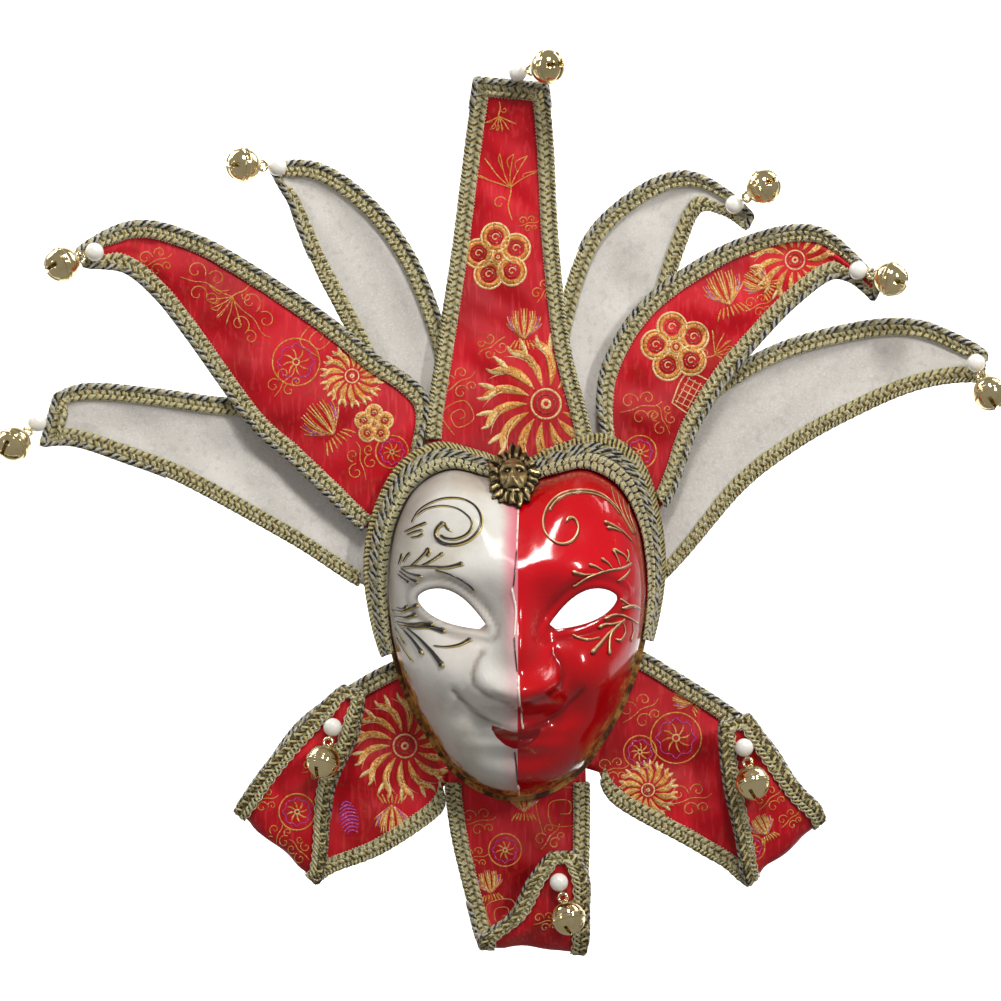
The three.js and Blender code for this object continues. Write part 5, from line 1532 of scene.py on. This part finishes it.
def trims():
    bell_points, bell_faces = bell_shape()
    for strip in STRIPS.values():
        pearl, bell, way, forward = trim_places(strip)
        name = strip["name"]
        side, upward, axis = frame_along(way)
        builder = Builder()
        placed = bell_points @ np.stack([side, upward, axis])
        builder.add(placed + bell, bell_faces)
        loop_centre = bell + axis * (BELL_DIAMETER / 2 + BELL_LOOP * 0.75)
        loop = ring_path(loop_centre, axis, side, BELL_LOOP)
        builder.tube(loop, np.repeat(upward[None], len(loop), 0), BELL_WIRE, BELL_WIRE, 8)
        collar = ring_path(bell + axis * (BELL_DIAMETER / 2 - 0.3), side, upward, 2.0)
        builder.tube(collar, np.repeat(axis[None], len(collar), 0), 0.6, 0.5, 8)
        builder.build(name + "_bell_brass", BRASS, "bell_brass", [name + "_bell"])
        ball = Builder()
        rows = np.linspace(0.06, math.pi - 0.06, 22)
        side, upward, axis = frame_along(forward)
        turns = np.linspace(0, 2 * math.pi, 32, endpoint=False)[:, None]
        around = np.cos(turns) * side + np.sin(turns) * upward
        radius = PEARL_DIAMETER / 2
        rings = np.stack([pearl + radius * (np.cos(row) * axis + np.sin(row) * around) for row in rows])
        ball.rings(rings)
        ball.build(name + "_pearl_bead", PEARL, "pearl", [name + "_pearl"])
        thread = Builder()
        start = pearl - forward * 4.6
        end = loop_centre + way * (BELL_LOOP - 0.3)
        line = np.linspace(pearl + forward * 0.2, end, 12)
        thread.tube(line, np.repeat(forward[None], len(line), 0), TRIM_THREAD, TRIM_THREAD, 6, 1)
        line = np.linspace(start, pearl - forward * 6.2, 6)
        thread.tube(line, np.repeat(upward[None], len(line), 0), SEAT_THREAD, SEAT_THREAD, 6, 1)
        knot = ring_path(end + way * 0.2, side, upward, KNOT_RADIUS, 14)
        thread.tube(knot, np.repeat(forward[None], len(knot), 0), KNOT_THREAD, KNOT_THREAD, 6, 1)
        thread.build(name + "_thread", CORD, "gold_braid")


# Lion brooch

def lion_brooch():
    outward = np.array([0, -math.cos(BROOCH_LEAN * DEGREE), math.sin(BROOCH_LEAN * DEGREE)])
    upward = np.array([0, math.sin(BROOCH_LEAN * DEGREE), math.cos(BROOCH_LEAN * DEGREE)])
    side = np.array([1.0, 0, 0])
    co = np.array([v.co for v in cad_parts["lion_brooch"].data.vertices], float) / MM
    back, middle = (co @ outward).min(), ((co @ upward).min() + (co @ upward).max()) / 2
    seat = outward * back + upward * middle + side * (co[:, 0].min() + co[:, 0].max()) / 2
    rings, sides = 46, 176
    turn = np.linspace(0, 2 * math.pi, sides, endpoint=False)[None, :]
    share = (np.arange(1, rings + 1) / rings)[:, None]
    sway = 0.5 * np.sin(3 * turn + 0.7) + 1.6 * share
    locks = np.cos(17 * turn + 1.5 * sway)
    tongue = np.abs(np.cos(8.5 * turn + 1.2 * sway)) ** 1.6 * (0.55 + 0.45 * np.sin(5 * turn + 1.1))
    crest = 0.2 * share ** 3 * np.exp(-((turn - math.pi / 2) / 0.14) ** 2)
    flame = 1 + share ** 2 * (0.2 * tongue - 0.12) + crest
    x, y = np.cos(turn) * share * flame, np.sin(turn) * share * flame

    def bump(cx, cy, wide, tall, height):
        grown = 1.36
        return height * np.exp(-(((x / grown - cx) / wide) ** 2 + ((y / grown - cy) / tall) ** 2))

    mane = 0.2 * locks * smoothstep(0.5, 0.66, share) * (1 - 0.4 * share)
    mane = mane + 0.07 * np.cos(31 * turn - 5 * sway) * smoothstep(0.55, 0.75, share)
    high = 0.42 + 0.22 * (1 - share ** 2) + mane - 0.28 * np.exp(-((share - 0.58) / 0.05) ** 2)
    high = high + bump(0, 0.02, 0.36, 0.4, 0.62) + bump(0, 0.3, 0.26, 0.12, 0.16)
    high = high + bump(0, -0.02, 0.09, 0.2, 0.34) + bump(0, -0.16, 0.13, 0.08, 0.36)
    high = high + bump(0.1, -0.25, 0.1, 0.07, 0.26) + bump(-0.1, -0.25, 0.1, 0.07, 0.26)
    for hand in (-1, 1):
        high = high + bump(hand * 0.19, 0.17, 0.13, 0.045, 0.2) - bump(hand * 0.17, 0.08, 0.09, 0.06, 0.5)
        high = high + bump(hand * 0.17, 0.08, 0.035, 0.03, 0.34) + bump(hand * 0.25, -0.1, 0.1, 0.1, 0.2)
        high = high + bump(hand * 0.34, 0.36, 0.07, 0.07, 0.2)
    high = high - bump(0, -0.33, 0.14, 0.025, 0.3) + bump(0, -0.42, 0.1, 0.06, 0.2)
    high = high * smoothstep(1.04, 0.93, share + 0 * turn)
    height = np.maximum(high, 0.16) * BROOCH_RELIEF
    half_width, half_height = BROOCH_HALF_WIDTH, BROOCH_HALF_HEIGHT
    builder = Builder()
    centre_height = float(height[0].mean())
    flat = seat + (x * half_width)[..., None] * side + (y * half_height)[..., None] * upward
    front = flat + height[..., None] * outward
    rim = front[-1] - (height[-1] - 0.05)[:, None] * outward
    points = np.concatenate([(seat + outward * centre_height)[None], front.reshape(-1, 3), rim, seat[None]])
    index = 1 + np.arange((rings + 1) * sides).reshape(rings + 1, sides)
    after = np.roll(index, -1, axis=1)
    faces = ring_quads(index)
    faces += [(0, index[0, k], after[0, k]) for k in range(sides)]
    faces += [(len(points) - 1, after[-1, k], index[-1, k]) for k in range(sides)]
    around = sum(np.roll(high, step, 1) for step in (-6, -3, 3, 6)) / 8 \
        + (high[np.maximum(0, np.arange(rings) - 2)] + high[np.minimum(rings - 1, np.arange(rings) + 2)]) / 4
    deep = np.clip((around - high) * 7 + 0.42, 0, 1)
    hollows = np.concatenate([[0.3], deep.reshape(-1), np.ones(sides), [1]])
    builder.add(points, faces, hollow=hollows)
    n = metal_material("bronze_cast", rgb(0.4, 0.31, 0.15), rgb(0.1, 0.075, 0.035), 0.25, 160, 0.8)
    base = n.shader.inputs["Base Color"].links[0].from_socket
    n.set(Base_Color=n.mix(n.step(n.attribute("hollow"), 0.32, 0.68), base, rgb(0.022, 0.018, 0.01)))
    return builder.build("lion_brooch_cast", n.material, "bronze", ["lion_brooch"])


# Camera, stage and lights

# Place of the light whose reflection lies beside the scroll on the red forehead
TOP_LIGHT = (0.06, -0.98, 1.2)

# Paper floor and wall, in metres: the floor lies behind the mask and curves up into the wall
FLOOR_START = 0.3
FLOOR_END = 1.9
FLOOR_LEVEL = -0.32
SWEEP_RADIUS = 0.6
WALL_TOP = 3.2
WALL_HALF = 4


def stage():
    scene = bpy.context.scene
    camera = bpy.data.cameras.new("camera")
    camera.sensor_width = SENSOR
    camera.lens = SENSOR * CAMERA_DISTANCE / (IMAGE_SIZE * PIXEL)
    holder = add_object("camera", camera)
    holder.location = Vector((CAMERA_X, -CAMERA_DISTANCE, CAMERA_Z)) * MM
    holder.rotation_euler = (math.pi / 2, 0, 0)
    scene.camera = holder
    scene.view_settings.view_transform = "Standard"
    profile = [(FLOOR_START, FLOOR_LEVEL), (FLOOR_END, FLOOR_LEVEL)]
    for angle in np.linspace(0, 90, 13)[1:]:
        profile.append((FLOOR_END + SWEEP_RADIUS * math.sin(angle * DEGREE),
                        FLOOR_LEVEL + SWEEP_RADIUS * (1 - math.cos(angle * DEGREE))))
    profile.append((2.5, WALL_TOP))
    shape = bmesh.new()
    rows = [[shape.verts.new((x, y, z)) for y, z in profile] for x in (-WALL_HALF, WALL_HALF)]
    for number in range(len(profile) - 1):
        shape.faces.new((rows[0][number], rows[0][number + 1], rows[1][number + 1], rows[1][number]))
    mesh = bpy.data.meshes.new("studio_sweep")
    shape.to_mesh(mesh)
    shape.free()
    mesh.polygons.foreach_set("use_smooth", np.ones(len(mesh.polygons), bool))
    n = Nodes("studio_paper")
    n.set(Base_Color=rgb(0.93, 0.93, 0.93), Roughness=0.9)
    mesh.materials.append(n.material)
    sweep = add_object("studio_sweep", mesh)
    world = bpy.data.worlds.new("studio")
    world.use_nodes = True
    background = world.node_tree.nodes["Background"]
    background.inputs["Color"].default_value = rgb(1.0, 0.98, 0.96)
    background.inputs["Strength"].default_value = 0.3
    scene.world = world
    lights = [
        ("key", (0.85, -1.15, 0.7), (0.0, 0, 0.05), 0.12, 0.34, 10, (1.0, 0.98, 0.95)),
        ("top", TOP_LIGHT, (0.0, 0.0, 0.05), 0.26, 0.4, 13, (1.0, 0.99, 0.97)),
        ("fill", (-1.5, -1.0, 0.5), (-0.05, 0, 0.05), 0.3, 0.4, 2.2, (0.97, 0.98, 1.0)),
        ("back_left", (-1.4, 0.6, 1.5), (-0.2, 2.5, 0.3), 1.4, 1.4, 50, (1.0, 1.0, 1.0)),
        ("back_right", (1.4, 0.6, 1.5), (0.2, 2.5, 0.3), 1.4, 1.4, 50, (1.0, 1.0, 1.0)),
    ]
    for name, place, aim, wide, tall, power, color in lights:
        data = bpy.data.lights.new(name, "AREA")
        data.shape = "RECTANGLE"
        data.size, data.size_y = wide, tall
        data.energy = power
        data.color = color
        lamp = add_object(name, data)
        lamp.location = place
        lamp.rotation_euler = (Vector(aim) - Vector(place)).to_track_quat("-Z", "Y").to_euler()


stage()
shell = face_shell(136)
relief_paint(tree_of(shell))
forehead_braid()
lion_brooch()
for strip in STRIPS.values():
    cloth = cloth_piece(strip)
    edging_piece(strip)
    if strip["name"] in FIGURE_TABLE:
        figures_on(strip, tree_of(cloth))
trims()
